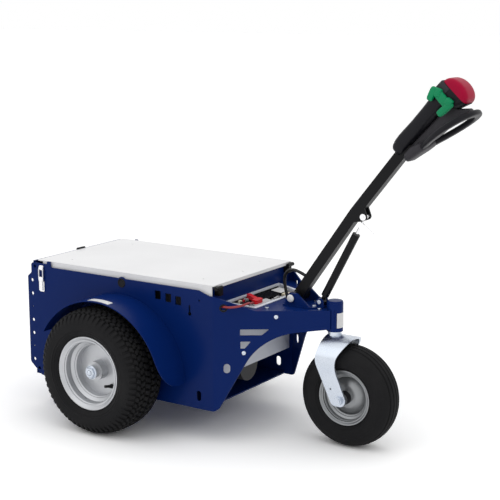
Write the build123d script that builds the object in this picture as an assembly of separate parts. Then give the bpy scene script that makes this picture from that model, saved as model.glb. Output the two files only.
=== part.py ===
from build123d import *

import math
import os

# Walk-behind electric tow tractor. Millimetres. While it is drawn, X runs forward from the drive axle,
# Y to the left and Z up from the ground. The finished pieces move along X so that the origin stands
# under the middle of the whole machine.

# Sheet-metal body
SHEET = 4.0
HALF_WIDTH = 231.0
REAR_X = -379.0
BEND_X = 369.0
BOTTOM_Z = 103.0
PLATE_TOP_Z = 475.0
SLOPE_TOP_Z = 462.0
SLOPE_FOOT_X = 471.0
ARCH_X = 488.0
ARCH_Z = 341.0
ARCH_RADIUS = 165.0
NOSE_BOTTOM_Z = 361.0
WELD_GAP = 0.3
REAR_PLATE_INSET = 22.0
REST_FLANGE = 34.0
FLOOR_Z = 105.0
FLOOR_FRONT_X = 340.0
SHELF_Z = 255.0
PANEL_X = 356.0
PANEL_BOTTOM_Z = 196.0
HITCH_X = -361.0
HITCH_TOP_Z = 424.0
HITCH_PITCH = 45.0
HITCH_HOLE_R = 5.5
HITCH_PIN_R = 2.5

# Nose, its deck and the castor's swivel
DECK_Z = 417.5
DECK_FOOT_X = 462.0
DECK_REAR_Z = 428.0
SWIVEL_X = 657.0
TUBE_R = 25.0
TUBE_BOTTOM_Z = 350.0
TUBE_TOP_Z = 438.0
STEM_R = 14.0
RUNNING_FIT = 0.05
COLLAR_R = 21.0

# Drive wheels
AXLE_Z = 200.0
TYRE_R = 200.0
TYRE_HALF = 77.0
WHEEL_GAP = 7.0
BEAD_R = 101.0
RIM_FLANGE_R = 117.0
RIM_HALF = 67.0
RIM_WALL = 4.0
RIM_WELL = 15.0
SHAFT_R = 12.5
SHAFT_SEAT = 40.0
AXLE_TUBE_R = 30.0
HUB_R = 30.0
HUB_OUT = 32.0
HUB_IN = 34.0
NUT_R = 20.0

# Fenders
FENDER_X = 12.0
FENDER_Z = 175.0
FENDER_GAP = 50.0
FENDER_OUT = 124.0
FENDER_SHEET = 3.0
FENDER_REAR_ANGLE = 150.0
FENDER_CORNER_R = 48.0

# Castor wheel and fork
CASTOR_X = 714.0
CASTOR_R = 157.0
CASTOR_HALF = 50.0
CASTOR_BEAD_R = 75.0
CASTOR_FLANGE_R = 86.0
CASTOR_RIM_HALF = 42.0
CASTOR_HUB_R = 20.0
CASTOR_AXLE_R = 8.0
FORK_HALF = 70.0
FORK_SHEET = 7.0
FORK_TOP_Z = 340.0
FORK_END_R = 20.0

# Lid and hinges
LID_SHEET = 3.0
LID_REAR_X = -343.0
LID_FRONT_X = 365.0
LID_TOP_Z = 493.0
LID_SIDE_GAP = 5.0
LID_FLANGE = 36.0
LID_FRONT_FLANGE = 10.0
LID_HOLE_R = 3.0
HINGE_X = 372.0
HINGE_Z = 484.0
HINGE_BARREL_R = 6.0
HINGE_PIN_R = 3.0
HINGE_WIDTH = 16.0
HINGE_SIDE_GAP = 1.5
HINGE_GAP = 0.5

# Bay with the controller
PAN_START = 8.0
PAN_LENGTH = 88.0
PAN_REAR_HALF = 150.0
PAN_FRONT_HALF = 127.0
PAN_DEPTH = 30.0
PAN_SHEET = 2.5
PAN_RIM = 7.0
CONNECTOR_HEIGHT = 30.0
GRIP_Y = -86.0
GRIP_LENGTH = 40.0
POWER_R = 3.5
POWER_HOLE_R = 10.0
POWER_HOLE = (31.0, 427.0)
CONTROL_R = 5.0

# Tiller and its gas spring
PIVOT_X = 530.0
PIVOT_Z = 443.0
PIVOT_R = 8.0
SLEEVE_R = 17.0
SLEEVE_HALF = 37.0
EAR_Y = 39.0
EAR_SHEET = 6.0
BASE_PLATE = 4.0
POLE_DEPTH = 32.0
POLE_WIDTH = 30.0
POLE_BEND_R = 120.0
BEND_POINT = (724.0, 718.0)
HEAD_POINT = (870.0, 901.0)
POLE_SOCKET = 42.0
GAS_LOW = (612.0, 436.0)
GAS_HIGH = (755.0, 709.0)
GAS_PIN_R = 4.0
GAS_R = 12.0
GAS_BODY = 245.0
GAS_ROD_R = 4.0
GAS_EYE_R = 8.0
GAS_EYE_HALF = 5.0
GAS_SLACK = 4.3
GAS_SLACK_SHIFT = -1.3
GAS_LUG_Y = 11.5
GAS_LUG_SHEET = 5.0
GAS_EAR_Y = 10.0

# Handle head
HEAD_ANGLE = 46.6
LOOP_TILT = 10.5
LOOP_START = (20.0, -10.0)
LOOP_THICK = 30.0
LOOP_EDGE = 10.0
CONSOLE_HALF = 35.0
CONSOLE_END = 237.0
CONSOLE_EDGE = 9.0
END_BLOCK_START = 212.0
END_BLOCK_LOW = 15.0
BUTTON_HALF = 30.0
BUTTON_EDGE = 5.0
PADDLE_THICK = 14.0
COVER_SHEET = 3.0

# Masses inside
BATTERY_SIZE = (330.0, 170.0, 220.0)
BATTERY_GAP = 10.0
BATTERY_REAR_X = -20.0
GEARBOX_HALF_X = 78.0
GEARBOX_HALF_Y = 92.0
GEARBOX_BOTTOM_Z = 130.0
MOTOR_R = 50.0
MOTOR_END_X = 345.0
MOTOR_Z = 190.0

INNER_Y = HALF_WIDTH - SHEET
BODY_HALF = INNER_Y - WELD_GAP
LID_HALF = INNER_Y - LID_SIDE_GAP
LID_REST_Z = LID_TOP_Z - LID_SHEET - WELD_GAP
LID_ROOM_HALF = LID_HALF - LID_SHEET - LID_SIDE_GAP
REAR_PLATE_X = REAR_X + REAR_PLATE_INSET
CASTOR_Z = CASTOR_R
WHEEL_Y = HALF_WIDTH + WHEEL_GAP + TYRE_HALF
FENDER_R = TYRE_R + FENDER_GAP
AXLE_TUBE_END = WHEEL_Y - HUB_IN - LID_SIDE_GAP
SHAFT_END = AXLE_TUBE_END - SHAFT_SEAT
HINGE_INNER_Y = LID_HALF - HINGE_SIDE_GAP - 2 * HINGE_WIDTH - HINGE_GAP


def unit(angle):
    """Unit vector in X and Z at an angle in degrees above X."""
    return Vector(math.cos(math.radians(angle)), 0, math.sin(math.radians(angle)))


def outline(rows):
    """Closed face from rows of (x, y, corner radius)."""
    corners = []
    for index, (x, y, radius) in enumerate(rows):
        corner = Vector(x, y)
        back = (Vector(*rows[index - 1][:2]) - corner).normalized()
        ahead = (Vector(*rows[(index + 1) % len(rows)][:2]) - corner).normalized()
        half = math.radians(back.get_angle(ahead)) / 2
        reach = radius / math.tan(half)
        middle = corner + (back + ahead).normalized() * (radius / math.sin(half) - radius)
        corners.append((corner + back * reach, middle, corner + ahead * reach, radius))
    edges = []
    for index, (start, middle, end, radius) in enumerate(corners):
        if radius:
            edges.append(ThreePointArc(start, middle, end))
        edges.append(Line(end, corners[(index + 1) % len(corners)][0]))
    return make_face(edges)


def both_sides(rows):
    """Rows of (x, y, corner radius) on the low side, followed by their mirror images back again."""
    return [(x, -y, radius) for x, y, radius in rows] + [(x, y, radius) for x, y, radius in reversed(rows)]


def across(face, y_low, y_high):
    """Solid from a face drawn in X and Z, carried from y_low to y_high."""
    return extrude(Plane.XZ.offset(-y_high) * face, y_high - y_low)


def upward(face, z_low, z_high):
    """Solid from a face drawn in X and Y, carried from z_low to z_high."""
    return extrude(Pos(0, 0, z_low) * face, z_high - z_low)


def rod_y(x, z, radius, y_low, y_high):
    """Round bar along Y."""
    return across(Pos(x, z) * Circle(radius), y_low, y_high)


def block(x_low, x_high, y_low, y_high, z_low, z_high):
    """Rectangular block between two corners."""
    middle = Pos((x_low + x_high) / 2, (y_low + y_high) / 2)
    return upward(middle * Rectangle(x_high - x_low, y_high - y_low), z_low, z_high)


def turned_y(face, x, y, z):
    """Ring turned about Y from a face drawn as (offset along Y, radius), set at a point."""
    return Pos(x, y, z) * revolve(Plane.YZ * face, Axis.Y)


def mirrored(solid):
    """The same piece on the other side of the machine."""
    return mirror(solid, about=Plane.XZ)


def bar_between(start, end, radius):
    """Round bar in the middle plane between two (x, z) points."""
    low = Vector(start[0], 0, start[1])
    run = Vector(end[0], 0, end[1]) - low
    return extrude(Plane(origin=low, z_dir=run) * Circle(radius), run.length)


def nose_angle():
    """Angle of the slanted front plates, which run from the bend to touch the swivel tube."""
    run = Vector(SWIVEL_X - BEND_X, HALF_WIDTH)
    inset = math.degrees(math.asin((TUBE_R - SHEET / 3) / run.length))
    return math.degrees(math.atan2(run.Y, run.X)) - inset


NOSE_ANGLE = nose_angle()
INNER_BEND_X = BEND_X - SHEET * math.tan(math.radians(NOSE_ANGLE / 2))
DECK_REAR_X = PANEL_X + WELD_GAP
DECK_SLOPE = math.degrees(math.atan2(DECK_REAR_Z - DECK_Z, DECK_FOOT_X - DECK_REAR_X))


def inner_half(x):
    """Half the room between the slanted front plates at x."""
    return BODY_HALF - (x - INNER_BEND_X) * math.tan(math.radians(NOSE_ANGLE))


def nose_plane():
    """Outer face of the right slanted plate: local x along it from the bend, local y up."""
    angle = math.radians(NOSE_ANGLE)
    return Plane(origin=(BEND_X, -HALF_WIDTH, 0), x_dir=(math.cos(angle), math.sin(angle), 0),
                 z_dir=(math.sin(angle), -math.cos(angle), 0))


def bay_plane():
    """Top face of the bay's deck: local x down its slope from the front panel, local y to the left."""
    return Plane(origin=(DECK_REAR_X, 0, DECK_REAR_Z), x_dir=unit(-DECK_SLOPE), z_dir=unit(90 - DECK_SLOPE))


def swivel_bar(radius, z_low, z_high):
    """Upright round bar on the castor's swivel axis."""
    return upward(Pos(SWIVEL_X, 0) * Circle(radius), z_low, z_high)


def plate_edge():
    """Side view of a side plate with the openings of its flat part."""
    # x, z, corner radius, from the rear foot round to the rear shoulder
    edge = outline([
        (REAR_X, BOTTOM_Z + 40, 14), (REAR_X + 48, BOTTOM_Z, 14), (BEND_X + 9, BOTTOM_Z, 24),
        (ARCH_X, ARCH_Z, ARCH_RADIUS), (SWIVEL_X + TUBE_R, NOSE_BOTTOM_Z, 0),
        (SWIVEL_X + TUBE_R, DECK_Z, 0), (SLOPE_FOOT_X, DECK_Z, 30), (BEND_X, SLOPE_TOP_Z, 4),
        (BEND_X - 16, SLOPE_TOP_Z, 6), (BEND_X - 54, PLATE_TOP_Z, 8), (REAR_X + 100, PLATE_TOP_Z, 3),
        (REAR_X + 100, PLATE_TOP_Z + 19, 4), (REAR_X + 85, PLATE_TOP_Z + 19, 4),
        (REAR_X + 85, PLATE_TOP_Z + 9, 3), (REAR_X + 16, PLATE_TOP_Z + 9, 10),
        (REAR_X + 16, PLATE_TOP_Z - 25, 6), (REAR_X, PLATE_TOP_Z - 38, 8)])
    sight = Pos(19, PLATE_TOP_Z - 14)
    edge += sight * Circle(19)
    edge -= sight * Circle(13)
    # vents, behind the bend and below the top edge
    for back, down in ((208, 34), (168, 38), (130, 42)):
        edge -= Pos(BEND_X - back, PLATE_TOP_Z - down) * RectangleRounded(23, 27, 2)
    edge -= Pos(BEND_X - 87, PLATE_TOP_Z - 77) * Circle(6.5)
    edge -= Pos(BEND_X - 87, PLATE_TOP_Z - 64) * RectangleRounded(6, 28, 2.5)
    edge -= Pos(BEND_X - 51, PLATE_TOP_Z - 31) * Circle(3)
    edge -= Pos(BEND_X - 55, BOTTOM_Z + 41) * SlotOverall(32, 18, rotation=90)
    for step in range(7):
        radius = HITCH_PIN_R if step in (2, 5) else HITCH_HOLE_R
        edge -= Pos(HITCH_X, HITCH_TOP_Z - step * HITCH_PITCH) * Circle(radius)
    edge -= Pos(HITCH_X + 14, PLATE_TOP_Z - 3) * Circle(HITCH_HOLE_R)
    edge -= Pos(HITCH_X + 20, BOTTOM_Z + 22) * Circle(HITCH_HOLE_R)
    return edge - Pos(0, AXLE_Z) * Circle(AXLE_TUBE_R + WELD_GAP)


def side_plate():
    """Right side plate: one bent sheet, flat beside the wheel and slanted in to the nose."""
    run = (SWIVEL_X - BEND_X) / math.cos(math.radians(NOSE_ANGLE))
    end = nose_plane().from_local_coords((run, 0, 0))
    end_in = nose_plane().from_local_coords((run, 0, -SHEET))
    plan = outline([(REAR_X, -HALF_WIDTH, 0), (BEND_X, -HALF_WIDTH, 3 * SHEET), (end.X, end.Y, 0),
                    (end_in.X, end_in.Y, 0), (INNER_BEND_X, -INNER_Y, 2 * SHEET), (REAR_X, -INNER_Y, 0)])
    plate = upward(plan, 0, LID_TOP_Z + 20) & across(plate_edge(), -HALF_WIDTH - 1, 0)
    # windows of the slanted plate, drawn along it
    windows = outline([(81, 361, 2), (170, 361, 2), (146, 342, 2), (81, 342, 2)])
    windows += outline([(82, 323, 2), (114, 323, 2), (95, 301, 2), (82, 301, 2)])
    windows += Pos(41, 239) * SlotOverall(30, 20, rotation=90)
    windows += Pos(*POWER_HOLE) * Circle(POWER_HOLE_R)
    plate -= extrude(nose_plane() * windows, SHEET * 2, both=True)
    return plate - swivel_bar(TUBE_R + WELD_GAP, 0, LID_TOP_Z)


def cross_plates():
    """Rear plate with its lid rest, floor, battery shelf and pale front panel between the two sides."""
    rear = block(REAR_PLATE_X, REAR_PLATE_X + SHEET, -BODY_HALF, BODY_HALF, FLOOR_Z, LID_REST_Z)
    rear += block(REAR_PLATE_X, REAR_PLATE_X + REST_FLANGE, -LID_ROOM_HALF, LID_ROOM_HALF,
                  LID_REST_Z - LID_SHEET, LID_REST_Z)
    start = REAR_PLATE_X + SHEET + WELD_GAP
    panel_back = PANEL_X - SHEET
    floor = block(start, FLOOR_FRONT_X, -BODY_HALF, BODY_HALF, FLOOR_Z, FLOOR_Z + SHEET)
    shelf = block(start, panel_back - WELD_GAP, -BODY_HALF, BODY_HALF, SHELF_Z, SHELF_Z + SHEET)
    panel = block(panel_back, PANEL_X, -BODY_HALF, BODY_HALF, PANEL_BOTTOM_Z, DECK_REAR_Z - SHEET - WELD_GAP)
    return {"rear_plate": rear, "floor_pan": floor, "battery_shelf": shelf, "front_panel": panel}


def pan_opening(grow):
    """Trapezium of the controller's opening in the bay's deck, widened by grow."""
    start = PAN_START - grow
    stop = PAN_START + PAN_LENGTH + grow
    return outline(both_sides([(start, PAN_REAR_HALF + grow, 4), (stop, PAN_FRONT_HALF + grow, 8)]))


def nose():
    """Folded deck of the nose with the crossbeam under the lid's front edge, and the swivel tube."""
    back = PANEL_X - SHEET
    deck_face = outline([(back, DECK_REAR_Z, 0), (DECK_REAR_X, DECK_REAR_Z, 0), (DECK_FOOT_X, DECK_Z, 30),
                         (SWIVEL_X, DECK_Z, 0), (SWIVEL_X, DECK_Z - SHEET, 0), (DECK_FOOT_X, DECK_Z - SHEET, 30),
                         (DECK_REAR_X, DECK_REAR_Z - SHEET, 0), (back, DECK_REAR_Z - SHEET, 0)])
    tip = SWIVEL_X - TUBE_R / 2
    plan = outline(both_sides([(0, BODY_HALF, 0), (INNER_BEND_X - SHEET, BODY_HALF, 0),
                               (INNER_BEND_X + SHEET, inner_half(INNER_BEND_X + SHEET), 0),
                               (tip, inner_half(tip), 0)]))
    deck = across(deck_face, -HALF_WIDTH, HALF_WIDTH) & upward(plan, 0, LID_TOP_Z)
    shoulder = LID_TOP_Z - LID_FLANGE - LID_SIDE_GAP
    deck += block(back, PANEL_X, -BODY_HALF, BODY_HALF, DECK_REAR_Z - SHEET, shoulder)
    deck += block(back, PANEL_X, -LID_ROOM_HALF, LID_ROOM_HALF, shoulder - SHEET, LID_REST_Z)
    deck -= extrude(bay_plane() * pan_opening(WELD_GAP), 3 * SHEET, both=True)
    deck -= swivel_bar(TUBE_R + WELD_GAP, 0, LID_TOP_Z)
    tube = swivel_bar(TUBE_R, TUBE_BOTTOM_Z, TUBE_TOP_Z)
    tube -= swivel_bar(STEM_R + RUNNING_FIT, 0, LID_TOP_Z)
    return {"nose_deck": deck, "swivel_tube": tube}


def controller_bay():
    """Pale pan in the bay, with the finned motor controller and the red-handled power connector."""
    plane = bay_plane()
    floor = plane.offset(-PAN_DEPTH + PAN_SHEET)
    pan = extrude(plane * pan_opening(0), -PAN_DEPTH)
    pan += extrude(plane * pan_opening(0), WELD_GAP + PAN_SHEET)
    pan += extrude(plane.offset(WELD_GAP) * pan_opening(PAN_RIM), PAN_SHEET)
    pan -= extrude(floor * pan_opening(-PAN_SHEET), PAN_DEPTH * 2)
    seat = floor.offset(WELD_GAP)
    middle = (40.0, 35.0)
    base_height = 17.0
    fin_height = 7.0
    controller = extrude(seat * Pos(*middle) * RectangleRounded(46, 190, 4), base_height)
    for step in range(16):
        fin = Pos(middle[0], middle[1] + (step - 7.5) * 11) * Rectangle(44, 4)
        controller += extrude(seat.offset(base_height) * fin, fin_height)
    connector = extrude(seat * Pos(80, -70) * RectangleRounded(24, 90, 3), CONNECTOR_HEIGHT)
    top = seat.offset(CONNECTOR_HEIGHT + WELD_GAP)
    handle_face = Pos(50, -72) * Rot(0, 0, -28) * RectangleRounded(58, 16, 6)
    handle_face += Pos(76, GRIP_Y) * RectangleRounded(18, GRIP_LENGTH, 6)
    handle = extrude(top * handle_face, 12)
    return {"controller_pan": pan, "motor_controller": controller, "power_connector": connector,
            "connector_handle": handle}


def fender():
    """Right fender: a rolled sheet on the side plate, with a rounded front corner."""
    full = math.radians(FENDER_REAR_ANGLE)
    reach = FENDER_R * 2
    sector = outline([(0, 0, 0), (reach, 0, 0), (reach, reach, 0), (reach * math.cos(full), reach, 0),
                      (reach * math.cos(full), reach * math.sin(full), 0)])
    ring = (Circle(FENDER_R) - Circle(FENDER_R - FENDER_SHEET)) & sector
    outer = -HALF_WIDTH - FENDER_OUT
    sheet = across(Pos(FENDER_X, FENDER_Z) * ring, outer, -HALF_WIDTH - WELD_GAP)
    corner = outline([(outer, FENDER_Z, 0), (outer + FENDER_CORNER_R, FENDER_Z, 0),
                      (outer, FENDER_Z + FENDER_CORNER_R, 0)])
    corner -= Pos(outer + FENDER_CORNER_R, FENDER_Z + FENDER_CORNER_R) * Circle(FENDER_CORNER_R)
    return sheet - extrude(Plane.YZ * corner, FENDER_R * 2)


def toggle_latch():
    """Right toggle latch on the side plate near its rear edge: base, lever, draw loop and keeper."""
    x = REAR_X + 64
    face = -HALF_WIDTH - WELD_GAP
    top = PLATE_TOP_Z
    latch = across(Pos(x, top - 62) * RectangleRounded(20, 44, 4), face - 2.5, face)
    latch += across(Pos(x, top - 57) * RectangleRounded(15, 46, 3), face - 8, face - 2)
    latch += across(Pos(x, top - 26) * (RectangleRounded(20, 52, 4) - RectangleRounded(13, 45, 2)),
                    face - 6, face - 3)
    latch += across(Pos(x, top - 4) * RectangleRounded(18, 16, 3), face - 4, face)
    return latch


def tyre(radius, half, bead_radius, bead_half, flange_radius):
    """Tyre section as (offset, radius): bead between the rim flanges, bulging wall, round shoulders."""
    wall = radius - flange_radius
    # radius, offset, corner radius
    side = [(bead_radius, bead_half, 0), (flange_radius + 2, bead_half, 0),
            (flange_radius + 0.14 * wall, half, 0.17 * wall), (flange_radius + 0.78 * wall, half, 0.30 * wall),
            (radius, 0.82 * half, 0.17 * wall)]
    return outline([(offset, level, corner) for level, offset, corner in both_sides(side)])


def rim(bead_radius, flange_radius, half, bead_half, well):
    """Rim section as (offset, radius): flanges, bead seats and well."""
    seat = bead_radius - WELD_GAP
    lip = bead_half + WELD_GAP
    bottom = seat - well
    # offset, radius, corner radius
    outer = [(half, flange_radius, 1.5), (lip, flange_radius, 1.5), (lip, seat, 0), (0.55 * half, seat, 3),
             (0.42 * half, bottom, 3)]
    inner = [(0.42 * half - RIM_WALL, bottom - RIM_WALL, 2), (0.55 * half - RIM_WALL, seat - RIM_WALL, 2),
             (half - RIM_WALL - 8, seat - RIM_WALL, 4), (half, flange_radius - RIM_WALL, 1.5)]
    back = [(-offset, level, corner) for offset, level, corner in reversed(outer)]
    back += [(-offset, level, corner) for offset, level, corner in reversed(inner)]
    return outline(outer + back + inner)


def ring_face(low, high, inner_radius, outer_radius):
    """Plain ring section as (offset, radius)."""
    middle = Pos((low + high) / 2, (inner_radius + outer_radius) / 2)
    return middle * Rectangle(high - low, outer_radius - inner_radius)


def drive_wheel():
    """Right drive wheel: tyre, and the rim with the shaft that turns with it, outward along -Y."""
    bead_half = RIM_HALF - 7
    tyre_ring = turned_y(tyre(TYRE_R, TYRE_HALF, BEAD_R, bead_half, RIM_FLANGE_R), 0, -WHEEL_Y, AXLE_Z)
    face = rim(BEAD_R, RIM_FLANGE_R, RIM_HALF, bead_half, RIM_WELL)
    face += ring_face(-3, 3, 0, BEAD_R - RIM_WELL - RIM_WALL / 2)
    face += ring_face(-HUB_OUT, HUB_IN, 0, HUB_R)
    wheel = turned_y(face, 0, -WHEEL_Y, AXLE_Z)
    wheel += rod_y(0, AXLE_Z, SHAFT_R, -WHEEL_Y - HUB_OUT - 9, -SHAFT_END)
    wheel += across(Pos(0, AXLE_Z) * RegularPolygon(NUT_R, 6), -WHEEL_Y - HUB_OUT - 8, -WHEEL_Y - HUB_OUT)
    return {"drive_tyre": tyre_ring, "drive_rim": wheel}


def drive_train():
    """Gearbox with its motor and the axle tubes to both sides, and the batteries on their shelf."""
    gear = block(-GEARBOX_HALF_X, GEARBOX_HALF_X, -GEARBOX_HALF_Y, GEARBOX_HALF_Y,
                 GEARBOX_BOTTOM_Z, SHELF_Z - WELD_GAP)
    gear = fillet(gear.edges().filter_by(Axis.Y), 24)
    gear += extrude(Plane.YZ * Pos(0, MOTOR_Z) * Circle(MOTOR_R), MOTOR_END_X)
    for side in (-1, 1):
        low, high = sorted((side * AXLE_TUBE_END, side * (GEARBOX_HALF_Y - 10)))
        gear += rod_y(0, AXLE_Z, AXLE_TUBE_R, low, high)
        low, high = sorted((side * WHEEL_Y, side * (SHAFT_END - WELD_GAP)))
        gear -= rod_y(0, AXLE_Z, SHAFT_R + RUNNING_FIT, low, high)
    length, width, height = BATTERY_SIZE
    seat = SHELF_Z + SHEET + WELD_GAP
    cell = block(BATTERY_REAR_X, BATTERY_REAR_X + length, BATTERY_GAP / 2, BATTERY_GAP / 2 + width,
                 seat, seat + height)
    cell = fillet(cell.edges().filter_by(Axis.Z), 8)
    return {"transaxle": gear, "batteries": cell + mirrored(cell)}


def lid():
    """Folded lid with side and front flanges, its rear pull and the moving halves of its hinges."""
    top = block(LID_REAR_X, LID_FRONT_X, -LID_HALF, LID_HALF, LID_TOP_Z - LID_SHEET, LID_TOP_Z)
    top = fillet(top.edges().filter_by(Axis.Z), 6)
    side_start = REAR_PLATE_X + REST_FLANGE + LID_SIDE_GAP
    fold_z = LID_TOP_Z - LID_SHEET / 2
    for y in (-LID_HALF, LID_HALF - LID_SHEET):
        top += block(side_start, LID_FRONT_X - 6, y, y + LID_SHEET, LID_TOP_Z - LID_FLANGE, fold_z)
    top += block(LID_FRONT_X - LID_SHEET, LID_FRONT_X, -LID_HALF + 6, LID_HALF - 6,
                 LID_TOP_Z - LID_FRONT_FLANGE, fold_z)
    # x, y of the screw holes
    for x, y in ((-248, -158), (-248, 158), (282, -158), (282, 158), (322, 0)):
        top -= upward(Pos(x, y) * Circle(LID_HOLE_R), 0, LID_TOP_Z + 1)
    pull = block(LID_REAR_X - 9, LID_REAR_X - WELD_GAP, -18, 18, LID_TOP_Z - LID_SHEET, LID_TOP_Z + 5)
    pull = fillet(pull.edges().filter_by(Axis.Y).sort_by(Axis.X)[:2], 2)
    low = HINGE_INNER_Y + HINGE_WIDTH + HINGE_GAP
    high = low + HINGE_WIDTH
    knuckle = rod_y(HINGE_X, HINGE_Z, HINGE_BARREL_R, low, high)
    knuckle += block(LID_FRONT_X + WELD_GAP, HINGE_X, low, high, HINGE_Z - 2, HINGE_Z + HINGE_BARREL_R)
    knuckle -= rod_y(HINGE_X, HINGE_Z, HINGE_PIN_R + RUNNING_FIT, low - 1, high + 1)
    return {"lid": top, "lid_pull": pull, "lid_knuckles": knuckle + mirrored(knuckle)}


def hinges():
    """Fixed halves of the lid hinges: bracket on the crossbeam, knuckle and pin."""
    low = HINGE_INNER_Y
    high = low + HINGE_WIDTH
    foot_z = SLOPE_TOP_Z - 2
    under_lid_z = LID_TOP_Z - LID_FRONT_FLANGE - LID_SIDE_GAP
    half = block(DECK_REAR_X, HINGE_X + 5, low, high, foot_z, under_lid_z)
    half += block(HINGE_X - 5, HINGE_X + 5, low, high, foot_z, HINGE_Z)
    half += rod_y(HINGE_X, HINGE_Z, HINGE_BARREL_R, low, high)
    half += rod_y(HINGE_X, HINGE_Z, HINGE_PIN_R, low, high + HINGE_WIDTH + HINGE_GAP)
    return half + mirrored(half)


def fork_blank():
    """Front view of the fork's bent strip: two legs joined by a round crown."""
    inner = FORK_HALF - FORK_SHEET
    spring_z = FORK_TOP_Z - FORK_HALF
    arch = (Circle(FORK_HALF) - Circle(inner)) & Pos(0, FORK_HALF) * Rectangle(3 * FORK_HALF, 2 * FORK_HALF)
    strip = Pos(0, spring_z) * arch
    for side in (-1, 1):
        strip += Pos(side * (inner + FORK_SHEET / 2), spring_z / 2) * Rectangle(FORK_SHEET, spring_z)
    return strip


def castor():
    """Bent-strip fork with its stem and axle, and the wheel that turns in it."""
    tip = CASTOR_X + FORK_END_R
    low_z = CASTOR_Z - FORK_END_R
    leg = outline([(SWIVEL_X - 18, FORK_TOP_Z + 1, 0), (SWIVEL_X - 31, 268, 60),
                   (CASTOR_X - FORK_END_R - 5, low_z, 19), (tip, low_z, 19), (tip, CASTOR_Z + 4, 19),
                   (SWIVEL_X + 30, 266, 70), (SWIVEL_X + 78, FORK_TOP_Z + 1, 0)])
    leg -= Pos(CASTOR_X, CASTOR_Z) * Circle(CASTOR_AXLE_R + RUNNING_FIT)
    leg -= Pos(CASTOR_X - 30, CASTOR_Z + 31) * Circle(3)
    fork = extrude(Plane.YZ * fork_blank(), 2 * CASTOR_X) & across(leg, -FORK_HALF, FORK_HALF)
    stem_z = FORK_TOP_Z - FORK_SHEET / 2
    fork -= swivel_bar(COLLAR_R + WELD_GAP, stem_z - WELD_GAP, LID_TOP_Z)
    stem = swivel_bar(STEM_R, stem_z, TUBE_TOP_Z + 3)
    stem += swivel_bar(COLLAR_R, stem_z, TUBE_BOTTOM_Z - WELD_GAP)
    stem += swivel_bar(TUBE_R - 2, TUBE_TOP_Z + WELD_GAP, TUBE_TOP_Z + 4)
    axle = rod_y(CASTOR_X, CASTOR_Z, CASTOR_AXLE_R, -FORK_HALF - 12, FORK_HALF + 12)
    nut = Pos(CASTOR_X, CASTOR_Z) * RegularPolygon(13, 6)
    for low in (-FORK_HALF - 9, FORK_HALF + WELD_GAP):
        axle += across(nut, low, low + 9 - WELD_GAP)
    bead_half = CASTOR_RIM_HALF - 5
    section = tyre(CASTOR_R, CASTOR_HALF, CASTOR_BEAD_R, bead_half, CASTOR_FLANGE_R)
    well = 12.0
    bore = CASTOR_AXLE_R + RUNNING_FIT
    hub_half = FORK_HALF - FORK_SHEET - LID_SIDE_GAP
    face = rim(CASTOR_BEAD_R, CASTOR_FLANGE_R, CASTOR_RIM_HALF, bead_half, well)
    face += ring_face(-3, 3, bore, CASTOR_BEAD_R - well - RIM_WALL / 2)
    face += ring_face(-hub_half, hub_half, bore, CASTOR_HUB_R)
    return {"castor_fork": fork, "castor_stem": stem, "castor_axle": axle,
            "castor_tyre": turned_y(section, CASTOR_X, 0, CASTOR_Z),
            "castor_rim": turned_y(face, CASTOR_X, 0, CASTOR_Z)}


def tiller_bracket():
    """Plate on the nose deck with two ears for the tiller and two lugs for the gas spring."""
    low = DECK_Z + WELD_GAP
    top = low + BASE_PLATE
    half = EAR_Y + EAR_SHEET + 6
    neck = GAS_LUG_Y + GAS_LUG_SHEET + 6
    x, z = GAS_LOW
    plan = outline(both_sides([(PIVOT_X - 30, half, 4), (PIVOT_X + 56, half, 4), (x + 14, neck, 4)]))
    bracket = upward(plan, low, top)
    ear = outline([(PIVOT_X - 26, low, 0), (PIVOT_X + 68, low, 0), (PIVOT_X + 19, PIVOT_Z + 16, 10),
                   (PIVOT_X - 10, PIVOT_Z + 16, 12)])
    ear -= Pos(PIVOT_X, PIVOT_Z) * Circle(PIVOT_R + RUNNING_FIT)
    lug = outline([(x - 14, low, 0), (x + 14, low, 0), (x + 10, z + 10, 9), (x - 10, z + 10, 9)])
    lug -= Pos(x, z) * Circle(GAS_PIN_R + RUNNING_FIT)
    for face, start, sheet in ((ear, EAR_Y, EAR_SHEET), (lug, GAS_LUG_Y, GAS_LUG_SHEET)):
        bracket += across(face, start, start + sheet)
        bracket += across(face, -start - sheet, -start)
    return bracket


def pivot_pins():
    """Tiller pivot bolt with its heads and the gas spring's lower pin, through the bracket."""
    reach = EAR_Y + EAR_SHEET
    bolt = rod_y(PIVOT_X, PIVOT_Z, PIVOT_R, -reach - 1, reach + 1)
    lug = GAS_LUG_Y + GAS_LUG_SHEET
    pin = rod_y(*GAS_LOW, GAS_PIN_R, -lug - 1, lug + 1)
    for side in (-1, 1):
        low, high = sorted((side * (reach + WELD_GAP), side * (reach + 7)))
        bolt += rod_y(PIVOT_X, PIVOT_Z, PIVOT_R + 3, low, high)
        low, high = sorted((side * (lug + WELD_GAP), side * (lug + 4)))
        pin += rod_y(*GAS_LOW, GAS_PIN_R + 2.5, low, high)
    return bolt + pin


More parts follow.
